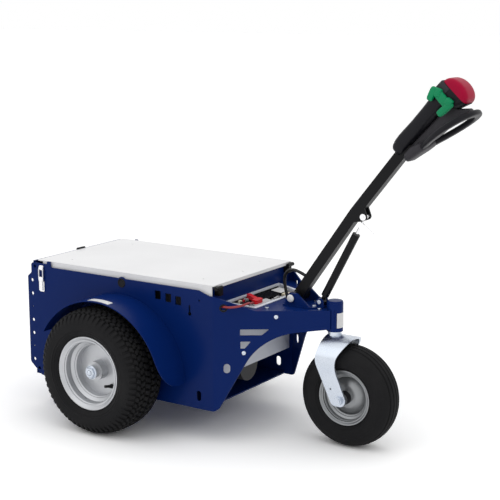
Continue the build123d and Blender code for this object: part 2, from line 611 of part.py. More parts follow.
def pole_outline(grow, end_reach):
    """Side of the bent pole from the pivot to past the head joint, grown all round."""
    points = [Vector(PIVOT_X, PIVOT_Z), Vector(*BEND_POINT), Vector(*HEAD_POINT)]
    low = (points[1] - points[0]).normalized()
    high = (points[2] - points[1]).normalized()
    middle = (low + high).normalized()
    half = POLE_DEPTH / 2 + grow
    side_low = Vector(-low.Y, low.X) * half
    side_high = Vector(-high.Y, high.X) * half
    side_bend = Vector(-middle.Y, middle.X) * (half / math.cos(math.radians(low.get_angle(high) / 2)))
    tip = points[2] + high * end_reach
    corners = [(points[0] - side_low, 0), (points[1] - side_bend, POLE_BEND_R), (tip - side_high, 0),
               (tip + side_high, 0), (points[1] + side_bend, POLE_BEND_R), (points[0] + side_low, 0)]
    return outline([(corner.X, corner.Y, radius) for corner, radius in corners])


def tiller_pole():
    """Square pole with its pivot sleeve and the two ears that take the gas spring's upper pin."""
    half = POLE_WIDTH / 2
    pole = across(pole_outline(0, POLE_SOCKET), -half, half)
    pole += rod_y(PIVOT_X, PIVOT_Z, SLEEVE_R, -SLEEVE_HALF, SLEEVE_HALF)
    pole -= rod_y(PIVOT_X, PIVOT_Z, PIVOT_R + RUNNING_FIT, -EAR_Y, EAR_Y)
    bend = Vector(*BEND_POINT)
    foot = bend + (Vector(PIVOT_X, PIVOT_Z) - bend).normalized() * 36
    shoulder = bend + (Vector(*HEAD_POINT) - bend).normalized() * 44
    x, z = GAS_HIGH
    ear = outline([(foot.X, foot.Y, 0), (x - 5, z - 14, 12), (x + 15, z - 6, 11), (shoulder.X, shoulder.Y, 0)])
    ear -= Pos(x + GAS_SLACK_SHIFT, z) * Circle(GAS_PIN_R + GAS_SLACK)
    pole += across(ear, GAS_EAR_Y, half)
    return pole + across(ear, -half, -GAS_EAR_Y)


def gas_spring():
    """Cylinder on the lower pin, with the rod, its pinned eye and the release lever at the upper end."""
    low = Vector(*GAS_LOW)
    high = Vector(*GAS_HIGH)
    along = (high - low).normalized()
    foot = low + along * 20
    mouth = low + along * GAS_BODY
    body = bar_between((foot.X, foot.Y), (mouth.X, mouth.Y), GAS_R)
    body += bar_between(GAS_LOW, (foot.X + along.X, foot.Y + along.Y), GAS_EYE_R - 1)
    body += rod_y(*GAS_LOW, GAS_EYE_R + 2, -GAS_EYE_HALF - 3, GAS_EYE_HALF + 3)
    body -= rod_y(*GAS_LOW, GAS_PIN_R + RUNNING_FIT, -GAS_R, GAS_R)
    deep = low + along * (GAS_BODY - 110)
    body -= bar_between((deep.X, deep.Y), GAS_HIGH, GAS_ROD_R + RUNNING_FIT)
    start = low + along * (GAS_BODY - 90)
    rod = bar_between((start.X, start.Y), GAS_HIGH, GAS_ROD_R)
    rod += rod_y(*GAS_HIGH, GAS_EYE_R, -GAS_EYE_HALF, GAS_EYE_HALF)
    washer = POLE_WIDTH / 2 + 0.5
    washer_r = GAS_PIN_R + GAS_SLACK + 1.5
    rod += rod_y(*GAS_HIGH, GAS_PIN_R, -washer - 4, washer + 4)
    rod += rod_y(*GAS_HIGH, washer_r, washer, washer + 2)
    rod += rod_y(*GAS_HIGH, washer_r, -washer - 2, -washer)
    stub = high - along * 34
    tip = Vector(high.X + 26, high.Y - 52)
    lever = outline([(stub.X - 5, stub.Y - 3, 3), (stub.X + 5, stub.Y - 6, 3), (tip.X + 1, tip.Y - 5, 5),
                     (tip.X + 6, tip.Y + 6, 5), (stub.X + 8, stub.Y + 12, 8), (stub.X, stub.Y + 10, 3)])
    lever = across(lever, -GAS_ROD_R - 3.5, -GAS_ROD_R - WELD_GAP)
    return {"gas_cylinder": body, "gas_rod": rod, "release_lever": lever}


def head_plane():
    """Side view of the handle head: local x along it from the joint, local y up from it."""
    return Plane(origin=(HEAD_POINT[0], 0, HEAD_POINT[1]), x_dir=unit(HEAD_ANGLE), z_dir=(0, -1, 0))


def loop_plane():
    """Middle plane of the grip loop: local x along it from the joint, local y to the left."""
    start = head_plane().from_local_coords((LOOP_START[0], LOOP_START[1], 0))
    angle = HEAD_ANGLE - LOOP_TILT
    return Plane(origin=start, x_dir=unit(angle), z_dir=unit(angle + 90))


def loop_top(along):
    """Height of the loop's top face under the console, at a distance along the head."""
    tilt = math.radians(LOOP_TILT)
    return LOOP_START[1] - (along - LOOP_START[0]) * math.tan(tilt) + LOOP_THICK / 2 / math.cos(tilt)


def pole_socket():
    """Room that the pole's upper end takes up inside the head."""
    half = POLE_WIDTH / 2 + WELD_GAP
    return across(pole_outline(WELD_GAP, POLE_SOCKET + WELD_GAP), -half, half)


def rounded_rims(solid, plane, radius):
    """Solid with the edges of its two outermost flat faces along a plane's normal rounded."""
    ends = solid.faces().filter_by(plane).sort_by(Axis(plane.origin, plane.z_dir))
    return fillet(ends[0].edges() + ends[-1].edges(), radius)


def grip_loop():
    """Closed handle loop with a middle spine and a hand hole on each side of it."""
    # along the loop, half-width, corner radius
    shape = outline(both_sides([(-16, 32, 12), (36, 54, 34), (84, 110, 46), (164, 113, 48), (232, 62, 44)]))
    hole = outline([(64, 37, 5), (97, 79, 22), (157, 82, 22), (204, 54, 14), (204, 37, 5)])
    shape = shape - hole - mirror(hole, about=Plane.XZ)
    loop = extrude(loop_plane() * shape, LOOP_THICK / 2, both=True)
    return rounded_rims(loop, loop_plane(), LOOP_EDGE) - pole_socket()


def handle_head():
    """Grip loop and, on its spine, the console with end block, stop button, throttle and bottom cover."""
    plane = head_plane()
    low_end = loop_top(CONSOLE_END) + WELD_GAP
    console_face = outline([(-2, loop_top(-2) + WELD_GAP, 0), (-5, 34, 14), (42, 44, 60), (95, 46, 60),
                            (150, 54, 60), (END_BLOCK_START, 57, 0), (END_BLOCK_START, END_BLOCK_LOW, 0),
                            (CONSOLE_END, END_BLOCK_LOW, 0), (CONSOLE_END, low_end, 0)])
    console = extrude(plane * console_face, CONSOLE_HALF, both=True)
    tops = [edge for edge in console.edges() if abs(edge.tangent_at(0.5).Y) < 0.5
            and abs(edge.center().Y) > 1 and plane.to_local_coords(edge.center()).Y > 38]
    console = fillet(tops, CONSOLE_EDGE) - pole_socket()
    start = END_BLOCK_START + WELD_GAP
    end_face = outline([(start, END_BLOCK_LOW + WELD_GAP, 0), (CONSOLE_END, END_BLOCK_LOW + WELD_GAP, 0),
                        (CONSOLE_END, 52, 6), (start, 56, 3)])
    end_block = extrude(plane * end_face, CONSOLE_HALF - 1, both=True)
    seat = CONSOLE_END + WELD_GAP
    button_face = outline([(seat, low_end, 7), (seat + 20, low_end - 3, 17), (seat + 35, 2, 48),
                           (seat + 25, 48, 20), (seat, 53, 8)])
    button = rounded_rims(extrude(plane * button_face, BUTTON_HALF, both=True), plane, BUTTON_EDGE)
    # along the head, up from it, corner radius
    paddle_face = outline([(199, 44, 7), (229, 44, 7), (221, 10, 12), (231, -24, 7), (195, -24, 7), (207, 10, 12)])
    paddle = extrude(plane.offset(CONSOLE_HALF + WELD_GAP) * paddle_face, PADDLE_THICK)
    under = loop_plane().offset(-LOOP_THICK / 2 - WELD_GAP)
    cover = extrude(under * Pos(58, 0) * RectangleRounded(122, 54, 14), -COVER_SHEET)
    return {"grip_loop": grip_loop(), "head_console": console, "console_block": end_block, "stop_button": button,
            "throttle_paddles": paddle + mirrored(paddle), "head_cover": cover}


def cable(points, radius):
    """Round cable along a route of straight runs with arcs as large as the runs allow."""
    route = [Vector(*point) for point in points]
    bends = []
    for before, corner, after in zip(route, route[1:], route[2:]):
        turn = math.radians((corner - before).get_angle(after - corner))
        shorter = min((corner - before).length, (after - corner).length)
        bends.append(0.45 * shorter / math.tan(turn / 2))
    path = FilletPolyline(*route, radius=bends)
    print("cable length", round(path.length), "smallest bend", round(min(bends)))
    return sweep(Plane(origin=path @ 0, z_dir=path % 0) * Circle(radius), path=path)


def cables():
    """Red power cable over the plate's edge and the black control cable up to the pole."""
    grip_y = GRIP_Y - GRIP_LENGTH / 2 - WELD_GAP
    grip_end = [bay_plane().from_local_coords((76, y, 8)) for y in (grip_y - 25, grip_y)]
    # along the slanted plate, up, out from it
    near_plate = [(22, 430.5, -14), (43, 431, 14), (84, 437, 16), (110, 442, -8)]
    power_route = [nose_plane().from_local_coords(row) for row in near_plate] + grip_end
    control_route = [(467, 35, 420), (455, 37, 455), (453, 37, 488), (474, 31, 511), (511, 18, 516),
                     (551, 3, 506)]
    return {"power_cable": cable(power_route, POWER_R), "control_cable": cable(control_route, CONTROL_R)}


def build_all():
    """Every piece by node name at its final place, and how far the middle is ahead of the axle."""
    pieces = {}
    right = {"side_plate": side_plate(), "fender": fender(), "toggle_latch": toggle_latch(), **drive_wheel()}
    for name, solid in right.items():
        pieces[name + "_right"] = solid
        pieces[name + "_left"] = mirrored(solid)
    pieces.update(cross_plates())
    pieces.update(nose())
    pieces.update(controller_bay())
    pieces.update(drive_train())
    pieces.update(lid())
    pieces["lid_hinges"] = hinges()
    pieces.update(castor())
    pieces["tiller_bracket"] = tiller_bracket()
    pieces["pivot_pins"] = pivot_pins()
    pieces["tiller_pole"] = tiller_pole()
    pieces.update(gas_spring())
    pieces.update(handle_head())
    pieces.update(cables())
    boxes = [solid.bounding_box() for solid in pieces.values()]
    middle = (min(box.min.X for box in boxes) + max(box.max.X for box in boxes)) / 2
    return {name: Pos(-middle, 0, 0) * solid for name, solid in pieces.items()}, middle


def main():
    """Write one file per piece."""
    os.makedirs("parts", exist_ok=True)
    pieces, middle = build_all()
    print("middle ahead of the drive axle", round(middle, 3))
    for name, solid in pieces.items():
        export_step(solid, f"parts/{name}.step")


if __name__ == "__main__":
    main()
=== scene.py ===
"""Looks of a walk-behind electric tow tractor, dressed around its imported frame."""

import logging
import math
from dataclasses import dataclass
from enum import Enum
from typing import ClassVar, Iterable, Mapping, Sequence, Union

import bmesh
import bpy
import numpy as np
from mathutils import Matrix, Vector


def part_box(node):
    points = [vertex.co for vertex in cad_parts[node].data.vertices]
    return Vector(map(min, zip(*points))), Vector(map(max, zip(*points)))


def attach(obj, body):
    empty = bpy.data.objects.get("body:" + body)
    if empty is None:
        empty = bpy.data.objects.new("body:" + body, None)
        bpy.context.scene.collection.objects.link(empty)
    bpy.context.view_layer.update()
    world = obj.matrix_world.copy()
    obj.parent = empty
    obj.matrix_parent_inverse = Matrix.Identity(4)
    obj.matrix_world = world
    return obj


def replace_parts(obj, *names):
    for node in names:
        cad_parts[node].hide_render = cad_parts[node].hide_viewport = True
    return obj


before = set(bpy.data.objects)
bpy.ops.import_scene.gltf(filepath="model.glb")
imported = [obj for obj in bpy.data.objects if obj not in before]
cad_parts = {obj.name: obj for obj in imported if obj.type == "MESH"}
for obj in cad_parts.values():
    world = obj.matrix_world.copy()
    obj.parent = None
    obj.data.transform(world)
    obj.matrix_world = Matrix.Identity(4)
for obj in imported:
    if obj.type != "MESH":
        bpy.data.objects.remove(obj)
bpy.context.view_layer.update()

LOG = logging.getLogger("tow_tractor")
MM = 0.001
Array = np.ndarray
# points and faces of a mesh
Shape = tuple[Array, Array]
Colour = tuple[float, float, float]
Point = tuple[float, float, float]


class Side(Enum):
    """Sides of the machine, with their sign along Y."""

    RIGHT = -1
    LEFT = 1

    @property
    def word(self) -> str:
        """Ending of the node names on this side."""
        return self.name.lower()


class Body(Enum):
    """Moving bodies of the frame that pieces ride on."""

    CHASSIS = "chassis"
    WHEEL_RIGHT = "wheel_right"
    WHEEL_LEFT = "wheel_left"
    CASTOR = "castor"
    CASTOR_WHEEL = "castor_wheel"
    LID = "lid"
    TILLER = "tiller"
    GAS_CYLINDER = "gas_cylinder"
    GAS_ROD = "gas_rod"


# Shader expressions

class Wire:
    """One shader value: an output socket whose arithmetic adds Math nodes to its tree."""

    def __init__(self, tree: "Tree", socket: bpy.types.NodeSocket) -> None:
        """Keep the tree and the socket."""
        self.tree = tree
        self.socket = socket

    def _math(self, operation: str, first: "Value", second: "Value") -> "Wire":
        """Math node of two values."""
        return self.tree.wire("ShaderNodeMath", {"operation": operation}, {0: first, 1: second})

    def __add__(self, other: "Value") -> "Wire":
        """Sum with a value on the right."""
        return self._math("ADD", self, other)

    def __radd__(self, other: "Value") -> "Wire":
        """Sum with a value on the left."""
        return self._math("ADD", other, self)

    def __sub__(self, other: "Value") -> "Wire":
        """Difference with a value on the right."""
        return self._math("SUBTRACT", self, other)

    def __rsub__(self, other: "Value") -> "Wire":
        """Difference with a value on the left."""
        return self._math("SUBTRACT", other, self)

    def __mul__(self, other: "Value") -> "Wire":
        """Product with a value on the right."""
        return self._math("MULTIPLY", self, other)

    def __rmul__(self, other: "Value") -> "Wire":
        """Product with a value on the left."""
        return self._math("MULTIPLY", other, self)

    def clamped(self) -> "Wire":
        """The value kept between 0 and 1."""
        return self.tree.wire("ShaderNodeClamp", {}, {"Value": self})


Value = Union[float, Sequence[float], Wire]


class Tree:
    """Node tree of a material or world, with one method for every kind of node."""

    def __init__(self, nodes: bpy.types.NodeTree) -> None:
        """Empty the tree and keep it."""
        self.nodes = nodes
        nodes.nodes.clear()

    def node(self, kind: str, settings: Mapping[str, object],
             inputs: Mapping[object, Value]) -> bpy.types.Node:
        """New node with its settings and the values or links of its sockets.

        Args:
            kind: The node's type.
            settings: Its own properties.
            inputs: Socket names or numbers with a number, colour or wire each.

        Returns:
            The node.
        """
        made = self.nodes.nodes.new(kind)
        for name, value in settings.items():
            setattr(made, name, value)
        for key, value in inputs.items():
            if isinstance(value, Wire):
                self.nodes.links.new(value.socket, made.inputs[key])
            else:
                made.inputs[key].default_value = value
        return made

    def wire(self, kind: str, settings: Mapping[str, object], inputs: Mapping[object, Value],
             output: Union[int, str] = 0) -> Wire:
        """Output of a new node as a wire, by the output's name or number."""
        return Wire(self, self.node(kind, settings, inputs).outputs[output])

    def place(self) -> Wire:
        """Position on the piece in metres."""
        return self.wire("ShaderNodeTexCoord", {}, {}, "Object")

    def noise(self, scale: float, detail: float = 3.0, stretch: Point = (1.0, 1.0, 1.0)) -> Wire:
        """Cloudy value from 0 to 1, by clouds in a metre, finer octaves and factors on the coordinates."""
        spot = self.wire("ShaderNodeMapping", {}, {"Vector": self.place(), "Scale": stretch})
        return self.wire("ShaderNodeTexNoise", {}, {"Vector": spot, "Scale": scale, "Detail": detail})

    def blend(self, factor: Value, first: Union[Colour, Wire], second: Union[Colour, Wire]) -> Wire:
        """Colour between two others.

        Args:
            factor: 0 for the first, 1 for the second.
            first: Colour or wire.
            second: Colour or wire.

        Returns:
            The mixed colour.
        """
        pair = [row if isinstance(row, Wire) else (*row, 1.0) for row in (first, second)]
        mixed = self.node("ShaderNodeMix", {"data_type": "RGBA"}, {0: factor, 6: pair[0], 7: pair[1]})
        return Wire(self, mixed.outputs[2])

    def bump(self, height: Wire, depth: float, strength: float = 1.0) -> Wire:
        """Normal bent by a height from 0 to 1, where 1 is a depth in metres."""
        return self.wire("ShaderNodeBump", {}, {"Height": height, "Distance": depth, "Strength": strength})


# Finishes

def tinted(colour: Colour, factor: float) -> Colour:
    """Colour with each part multiplied by a factor, at most 1."""
    return tuple(min(1.0, part * factor) for part in colour)


@dataclass(frozen=True)
class Finish:
    """Surface of one kind of piece: colour, roughness and fine texture, made once as a material."""

    name: str
    colour: Colour
    roughness: float
    specular: float = 0.4

    def surface(self, tree: Tree) -> dict[str, Value]:
        """Socket values of the shader: slightly clouded colour and roughness.

        Args:
            tree: The material's tree.

        Returns:
            Socket names with their values.
        """
        cloud = tree.noise(9.0)
        return {"Base Color": tree.blend(cloud, tinted(self.colour, 0.92), tinted(self.colour, 1.06)),
                "Roughness": self.roughness + 0.08 * (cloud - 0.5)}

    def material(self) -> bpy.types.Material:
        """The finish as a material, made at its first use.

        Returns:
            The material.
        """
        found = bpy.data.materials.get(self.name)
        if found:
            return found
        made = bpy.data.materials.new(self.name)
        made.use_nodes = True
        tree = Tree(made.node_tree)
        sockets = {**self.surface(tree), "Specular IOR Level": self.specular}
        shader = tree.wire("ShaderNodeBsdfPrincipled", {}, sockets)
        tree.node("ShaderNodeOutputMaterial", {}, {"Surface": shader})
        made.diffuse_color = (*self.colour, 1.0)
        return made


@dataclass(frozen=True)
class PowderCoat(Finish):
    """Baked paint on sheet metal: orange-peel skin under a clear gloss."""

    gloss: float = 0.7
    peel_scale: float = 420.0
    peel_depth: float = 0.00006

    def surface(self, tree: Tree) -> dict[str, Value]:
        """Clouded colour, roughness of the skin and its fine waves.

        Args:
            tree: The material's tree.

        Returns:
            Socket names with their values.
        """
        broad = tree.noise(3.5, 2.0)
        skin = tree.noise(self.peel_scale, 2.0)
        return {"Base Color": tree.blend(broad, tinted(self.colour, 0.9), tinted(self.colour, 1.1)),
                "Roughness": self.roughness + 0.07 * (broad - 0.5) + 0.04 * (skin - 0.5),
                "Coat Weight": self.gloss,
                "Coat Roughness": 0.06,
                "Normal": tree.bump(skin, self.peel_depth, 0.6)}


@dataclass(frozen=True)
class TyreRubber(Finish):
    """Black rubber with a grey bloom and a fine moulded grain."""

    bloom: Colour = (0.024, 0.0235, 0.0240)

    def surface(self, tree: Tree) -> dict[str, Value]:
        """Black with patches of bloom, rough, with grain.

        Args:
            tree: The material's tree.

        Returns:
            Socket names with their values.
        """
        patches = tree.noise(14.0, 6.0)
        grain = tree.noise(900.0, 2.0)
        cover = ((patches - 0.42) * 2.4).clamped() * 0.55
        return {"Base Color": tree.blend(cover, self.colour, self.bloom),
                "Roughness": self.roughness + 0.16 * (patches - 0.5),
                "Normal": tree.bump(grain, 0.00008, 0.5)}


@dataclass(frozen=True)
class Metal(Finish):
    """Bare or plated metal with a faint grain along one direction."""

    tint: Colour = (0.9, 0.9, 0.9)
    grain: Point = (1.0, 1.0, 12.0)
    grain_depth: float = 0.00003
    metallic: float = 1.0

    def surface(self, tree: Tree) -> dict[str, Value]:
        """Two close tints in clouds, with streaks in roughness and height.

        Args:
            tree: The material's tree.

        Returns:
            Socket names with their values.
        """
        cloud = tree.noise(22.0, 4.0)
        streak = tree.noise(160.0, 2.0, self.grain)
        return {"Base Color": tree.blend(cloud, self.colour, self.tint),
                "Metallic": self.metallic,
                "Roughness": self.roughness + 0.12 * (streak - 0.5) + 0.08 * (cloud - 0.5),
                "Normal": tree.bump(streak, self.grain_depth, 0.4)}


@dataclass(frozen=True)
class Moulding(Finish):
    """Moulded plastic with a fine pebbled grain."""

    grain_scale: float = 700.0
    grain_depth: float = 0.00012

    def surface(self, tree: Tree) -> dict[str, Value]:
        """Slightly uneven colour over a pebbled skin of round cells.

        Args:
            tree: The material's tree.

        Returns:
            Socket names with their values.
        """
        broad = tree.noise(16.0, 3.0)
        pebbles = tree.wire("ShaderNodeTexVoronoi", {}, {"Vector": tree.place(), "Scale": self.grain_scale})
        return {"Base Color": tree.blend(broad, tinted(self.colour, 0.88), tinted(self.colour, 1.12)),
                "Roughness": self.roughness + 0.1 * (broad - 0.5),
                "Normal": tree.bump(pebbles, self.grain_depth, 0.35)}


@dataclass(frozen=True)
class Casting(Finish):
    """Painted casting with a coarse sand skin."""

    def surface(self, tree: Tree) -> dict[str, Value]:
        """Dark colour over a grainy skin.

        Args:
            tree: The material's tree.

        Returns:
            Socket names with their values.
        """
        sand = tree.noise(260.0, 5.0)
        return {"Base Color": tree.blend(sand, tinted(self.colour, 0.7), tinted(self.colour, 1.3)),
                "Roughness": self.roughness + 0.2 * (sand - 0.5),
                "Normal": tree.bump(sand, 0.0004, 0.6)}


BLUE = PowderCoat("blue_powder_coat", (0.002, 0.017, 0.120), 0.30, 0.07, gloss=0.02)
WHITE = PowderCoat("white_lid_coat", (0.84, 0.84, 0.85), 0.42, gloss=0.1, peel_scale=650.0)
PALE = PowderCoat("pale_panel_coat", (0.70, 0.73, 0.80), 0.40, gloss=0.1)
BLACK = PowderCoat("black_tube_coat", (0.006, 0.006, 0.007), 0.36, 0.12, gloss=0.04)
SILVER = Metal("silver_rim_paint", (0.46, 0.47, 0.49), 0.36, tint=(0.56, 0.57, 0.59), metallic=0.75)
DULL = Metal("grey_rim_paint", (0.26, 0.27, 0.28), 0.40, tint=(0.36, 0.37, 0.38), metallic=0.7)
ZINC = Metal("zinc_plate", (0.52, 0.57, 0.65), 0.28, tint=(0.63, 0.67, 0.73))
STEEL = Metal("bright_steel", (0.46, 0.47, 0.48), 0.22, tint=(0.56, 0.56, 0.57))
RUBBER = TyreRubber("tyre_rubber", (0.010, 0.010, 0.011), 0.70, 0.12)
CAST = Casting("black_casting", (0.03, 0.03, 0.032), 0.62)
DARK = Moulding("black_moulding", (0.008, 0.008, 0.011), 0.40, 0.16)
SLATE = Moulding("slate_moulding", (0.036, 0.034, 0.040), 0.5, 0.2)
GREY = Moulding("grey_moulding", (0.50, 0.50, 0.52), 0.5)
CREAM = Moulding("cream_moulding", (0.62, 0.56, 0.42), 0.5, grain_depth=0.00004)
CASE = Moulding("battery_case", (0.02, 0.02, 0.022), 0.55, grain_scale=300.0)
GREEN = Moulding("green_throttle", (0.002, 0.27, 0.105), 0.28, 0.2, grain_depth=0.00003)
RED = Moulding("red_button", (0.38, 0.003, 0.036), 0.36, 0.1, grain_depth=0.00003)
SCARLET = Moulding("red_handle", (0.60, 0.006, 0.014), 0.34, 0.25, grain_depth=0.00004)
RED_CABLE = Moulding("red_cable_jacket", (0.30, 0.035, 0.04), 0.42, grain_depth=0.00004)
BLACK_CABLE = Moulding("black_cable_jacket", (0.008, 0.008, 0.009), 0.5, 0.3, grain_depth=0.00004)
BLANK = Finish("blank_white_plate", (0.78, 0.78, 0.77), 0.35)


# Meshes from arrays

def grid_faces(rows: int, columns: int, rows_closed: bool, columns_closed: bool) -> Array:
    """Quads of a grid of points numbered row by row: each joins a point with the next ones both ways.

    Args:
        rows: Number of rows.
        columns: Points in a row.
        rows_closed: Whether the last row joins the first.
        columns_closed: Whether each row closes on itself.

    Returns:
        Four point numbers for each quad.
    """
    row, column = np.meshgrid(np.arange(rows - (not rows_closed)), np.arange(columns - (not columns_closed)),
                              indexing="ij")
    next_row, next_column = (row + 1) % rows, (column + 1) % columns
    corners = [row * columns + column, next_row * columns + column,
               next_row * columns + next_column, row * columns + next_column]
    return np.stack(corners, axis=-1).reshape(-1, 4)


def lathe(profile: Array, steps: int, closed: bool) -> Shape:
    """Surface of revolution about Z: a profile of (height, radius) turned through even angles.

    Args:
        profile: Rows of height along Z and radius.
        steps: Number of angles.
        closed: Whether the profile closes on itself.

    Returns:
        Points and quads.
    """
    angle = np.linspace(0, 2 * np.pi, steps, endpoint=False)[:, None]
    height, radius = profile[None, :, 0], profile[None, :, 1]
    points = np.stack(np.broadcast_arrays(radius * np.cos(angle), radius * np.sin(angle), height), axis=-1)
    return points.reshape(-1, 3), grid_faces(steps, len(profile), True, closed)


def eased(wave: Array, power: float) -> Array:
    """Sines or cosines raised to a power with their signs kept, squarer for a power under 1."""
    return np.sign(wave) * np.abs(wave) ** power


def block(half: Sequence[float], power: float = 0.22, rows: int = 14, columns: int = 32) -> Shape:
    """Rounded block about the origin: a superquadric, sines and cosines raised to a small power.

    Args:
        half: Half sizes along X, Y and Z.
        power: Exponent, smaller for squarer edges.
        rows: Rows from pole to pole.
        columns: Points in a row.

    Returns:
        Points and quads.
    """
    rise = np.linspace(-np.pi / 2, np.pi / 2, rows)[:, None]
    turn = np.linspace(0, 2 * np.pi, columns, endpoint=False)[None, :]
    girth = eased(np.cos(rise), power)
    x = half[0] * girth * eased(np.cos(turn), power)
    y = half[1] * girth * eased(np.sin(turn), power)
    z = np.broadcast_to(half[2] * eased(np.sin(rise), power), x.shape)
    return np.stack([x, y, z], axis=-1).reshape(-1, 3), grid_faces(rows, columns, False, True)


def oval(across: float, up: float, power: float = 1.0, steps: int = 12) -> Array:
    """Closed section round the origin: an ellipse, or squarer with a power under 1."""
    turn = np.linspace(0, 2 * np.pi, steps, endpoint=False)
    wave = np.stack([np.cos(turn), np.sin(turn)], axis=1)
    return eased(wave, power) * [across, up]


def sweep(path: Array, flat: Sequence[float], section: Array, scale: Value = 1.0,
          closed: bool = False) -> Shape:
    """Bar along a flat path: a section set across the path's direction at each point.

    Args:
        path: Points of the middle line.
        flat: Direction square to the path's plane.
        section: Points of the section, across the path in its plane and square to it.
        scale: Size of the section, one for all points or one for each.
        closed: Whether the path closes on itself.

    Returns:
        Points and quads.
    """
    ahead = np.roll(path, -1, axis=0) - np.roll(path, 1, axis=0) if closed else np.gradient(path, axis=0)
    upright = np.broadcast_to(np.asarray(flat, float), path.shape)
    across = np.cross(ahead, upright)
    across /= np.linalg.norm(across, axis=1)[:, None]
    size = np.broadcast_to(np.asarray(scale, float), (len(path),))[:, None, None]
    offset = section[None, :, :1] * across[:, None] + section[None, :, 1:] * upright[:, None]
    return (path[:, None] + size * offset).reshape(-1, 3), grid_faces(len(path), len(section), closed, True)


def stations(rows: Sequence[Sequence[float]], steps: int = 120, window: int = 7) -> Array:
    """Table of stations on a finer spacing, its corners rounded by a moving average.

    Args:
        rows: Stations, with the place along the body in the first column.
        steps: Number of stations to give.
        window: Width of the average, in those stations.

    Returns:
        One row for each station.
    """
    table = np.array(rows, float)
    pace = np.linspace(0, len(table) - 1, steps)
    fine = np.stack([np.interp(pace, np.arange(len(table)), column) for column in table.T], axis=1)
    padded = np.pad(fine, ((window // 2, window // 2), (0, 0)), mode="edge")
    return np.lib.stride_tricks.sliding_window_view(padded, window, axis=0).mean(axis=-1)


def wrapped_plate(centre: Sequence[float], axis: str, radius: float, reach: tuple[float, float],
                  span: tuple[Value, Value], thick: float, steps: int = 25) -> Shape:
    """Thin plate bent round a cylinder: both faces and the rim as one closed strip across it.

    Args:
        centre: Two coordinates of the cylinder's axis, in the order of the plane across it.
        axis: Direction of the cylinder, "y" or "z".
        radius: Radius under the plate.
        reach: First and last angle in degrees.
        span: First and last place along the axis, each one for all angles or one for each.
        thick: Thickness.
        steps: Number of angles.

    Returns:
        Points and quads.
    """
    turn = np.radians(np.linspace(*reach, steps))
    levels = np.array([radius, radius + thick, radius + thick, radius])
    start, stop = (np.broadcast_to(np.asarray(edge, float), turn.shape) for edge in span)
    third = np.stack([start, start, stop, stop], axis=1)
    first = centre[0] + levels[None] * np.cos(turn)[:, None]
    second = centre[1] + levels[None] * np.sin(turn)[:, None]
    order = [first, third, second] if axis == "y" else [first, second, third]
    faces = grid_faces(len(turn), 4, False, True)
    caps = np.arange(4) + np.array([[0], [4 * len(turn) - 4]])
    return np.stack(order, axis=-1).reshape(-1, 3), np.concatenate([faces, caps])


def carried(shape: Shape, matrix: Array) -> Shape:
    """Shape moved by one matrix."""
    return repeated(*shape, [matrix])


def facing(point: Sequence[float], direction: Sequence[float], spin: float = 0.0) -> Array:
    """Matrix that takes a piece drawn about Z to a point, with its Z along a direction.

    Args:
        point: Place of the piece's origin.
        direction: New direction of its Z.
        spin: Turn about Z in degrees.

    Returns:
        Four by four matrix.
    """
    up = np.asarray(direction, float)
    up /= np.linalg.norm(up)
    helper = np.array([0.0, 0.0, 1.0]) if abs(up[2]) < 0.9 else np.array([1.0, 0.0, 0.0])
    across = np.cross(helper, up)
    across /= np.linalg.norm(across)
    along = np.cross(up, across)
    turn = math.radians(spin)
    matrix = np.eye(4)
    matrix[:3, 0] = math.cos(turn) * across + math.sin(turn) * along
    matrix[:3, 1] = -math.sin(turn) * across + math.cos(turn) * along
    matrix[:3, 2] = up
    matrix[:3, 3] = point
    return matrix


def raised(angle: float) -> Array:
    """Directions ahead, to the left and up as rows, turned up by an angle in degrees."""
    turn = math.radians(angle)
    return np.array([[math.cos(turn), 0, math.sin(turn)], [0, 1, 0],
                     [-math.sin(turn), 0, math.cos(turn)]])


def repeated(points: Array, faces: Array, matrices: Iterable[Array]) -> Shape:
    """Copies of one shape: every point times every matrix, with faces numbered on.

    Args:
        points: The shape's points.
        faces: Its faces.
        matrices: One matrix for each copy.

    Returns:
        All points and faces.
    """
    stack = np.stack(list(matrices))
    moved = np.einsum("kij,nj->kni", stack[:, :3, :3], points) + stack[:, None, :3, 3]
    shift = np.arange(len(stack))[:, None, None] * len(points)
    return moved.reshape(-1, 3), (faces[None] + shift).reshape(-1, faces.shape[1])


def joined(parts: Sequence[Shape]) -> Shape:
    """Several shapes of quads as one, with faces numbered on.

    Args:
        parts: Points and faces of each shape.

    Returns:
        All points and faces.
    """
    starts = np.cumsum([0] + [len(points) for points, _ in parts])
    faces = [rows + start for (_, rows), start in zip(parts, starts)]
    return np.concatenate([points for points, _ in parts]), np.concatenate(faces)


def put_piece(name: str, shape: Shape, finish: Finish, body: Body,
              sharp: float = 35.0) -> bpy.types.Object:
    """New object of a shape, with doubles merged, faces outward and smooth shading.

    Args:
        name: The piece's name.
        shape: Points in metres and faces.
        finish: Its surface.
        body: What it rides on.
        sharp: Angle in degrees over which an edge stays sharp.

    Returns:
        The object.
    """
    points, faces = shape
    mesh = bpy.data.meshes.new(name)
    mesh.from_pydata(points.tolist(), [], faces.tolist())
    work = bmesh.new()
    work.from_mesh(mesh)
    bmesh.ops.remove_doubles(work, verts=work.verts, dist=1e-6)
    bmesh.ops.recalc_face_normals(work, faces=work.faces)
    work.to_mesh(mesh)
    work.free()
    mesh.shade_smooth()
    mesh.set_sharp_from_angle(angle=math.radians(sharp))
    mesh.materials.append(finish.material())
    piece = bpy.data.objects.new(name, mesh)
    bpy.context.scene.collection.objects.link(piece)
    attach(piece, body.value)
    LOG.info("piece %s: %d faces on %s", name, len(mesh.polygons), body.value)
    return piece


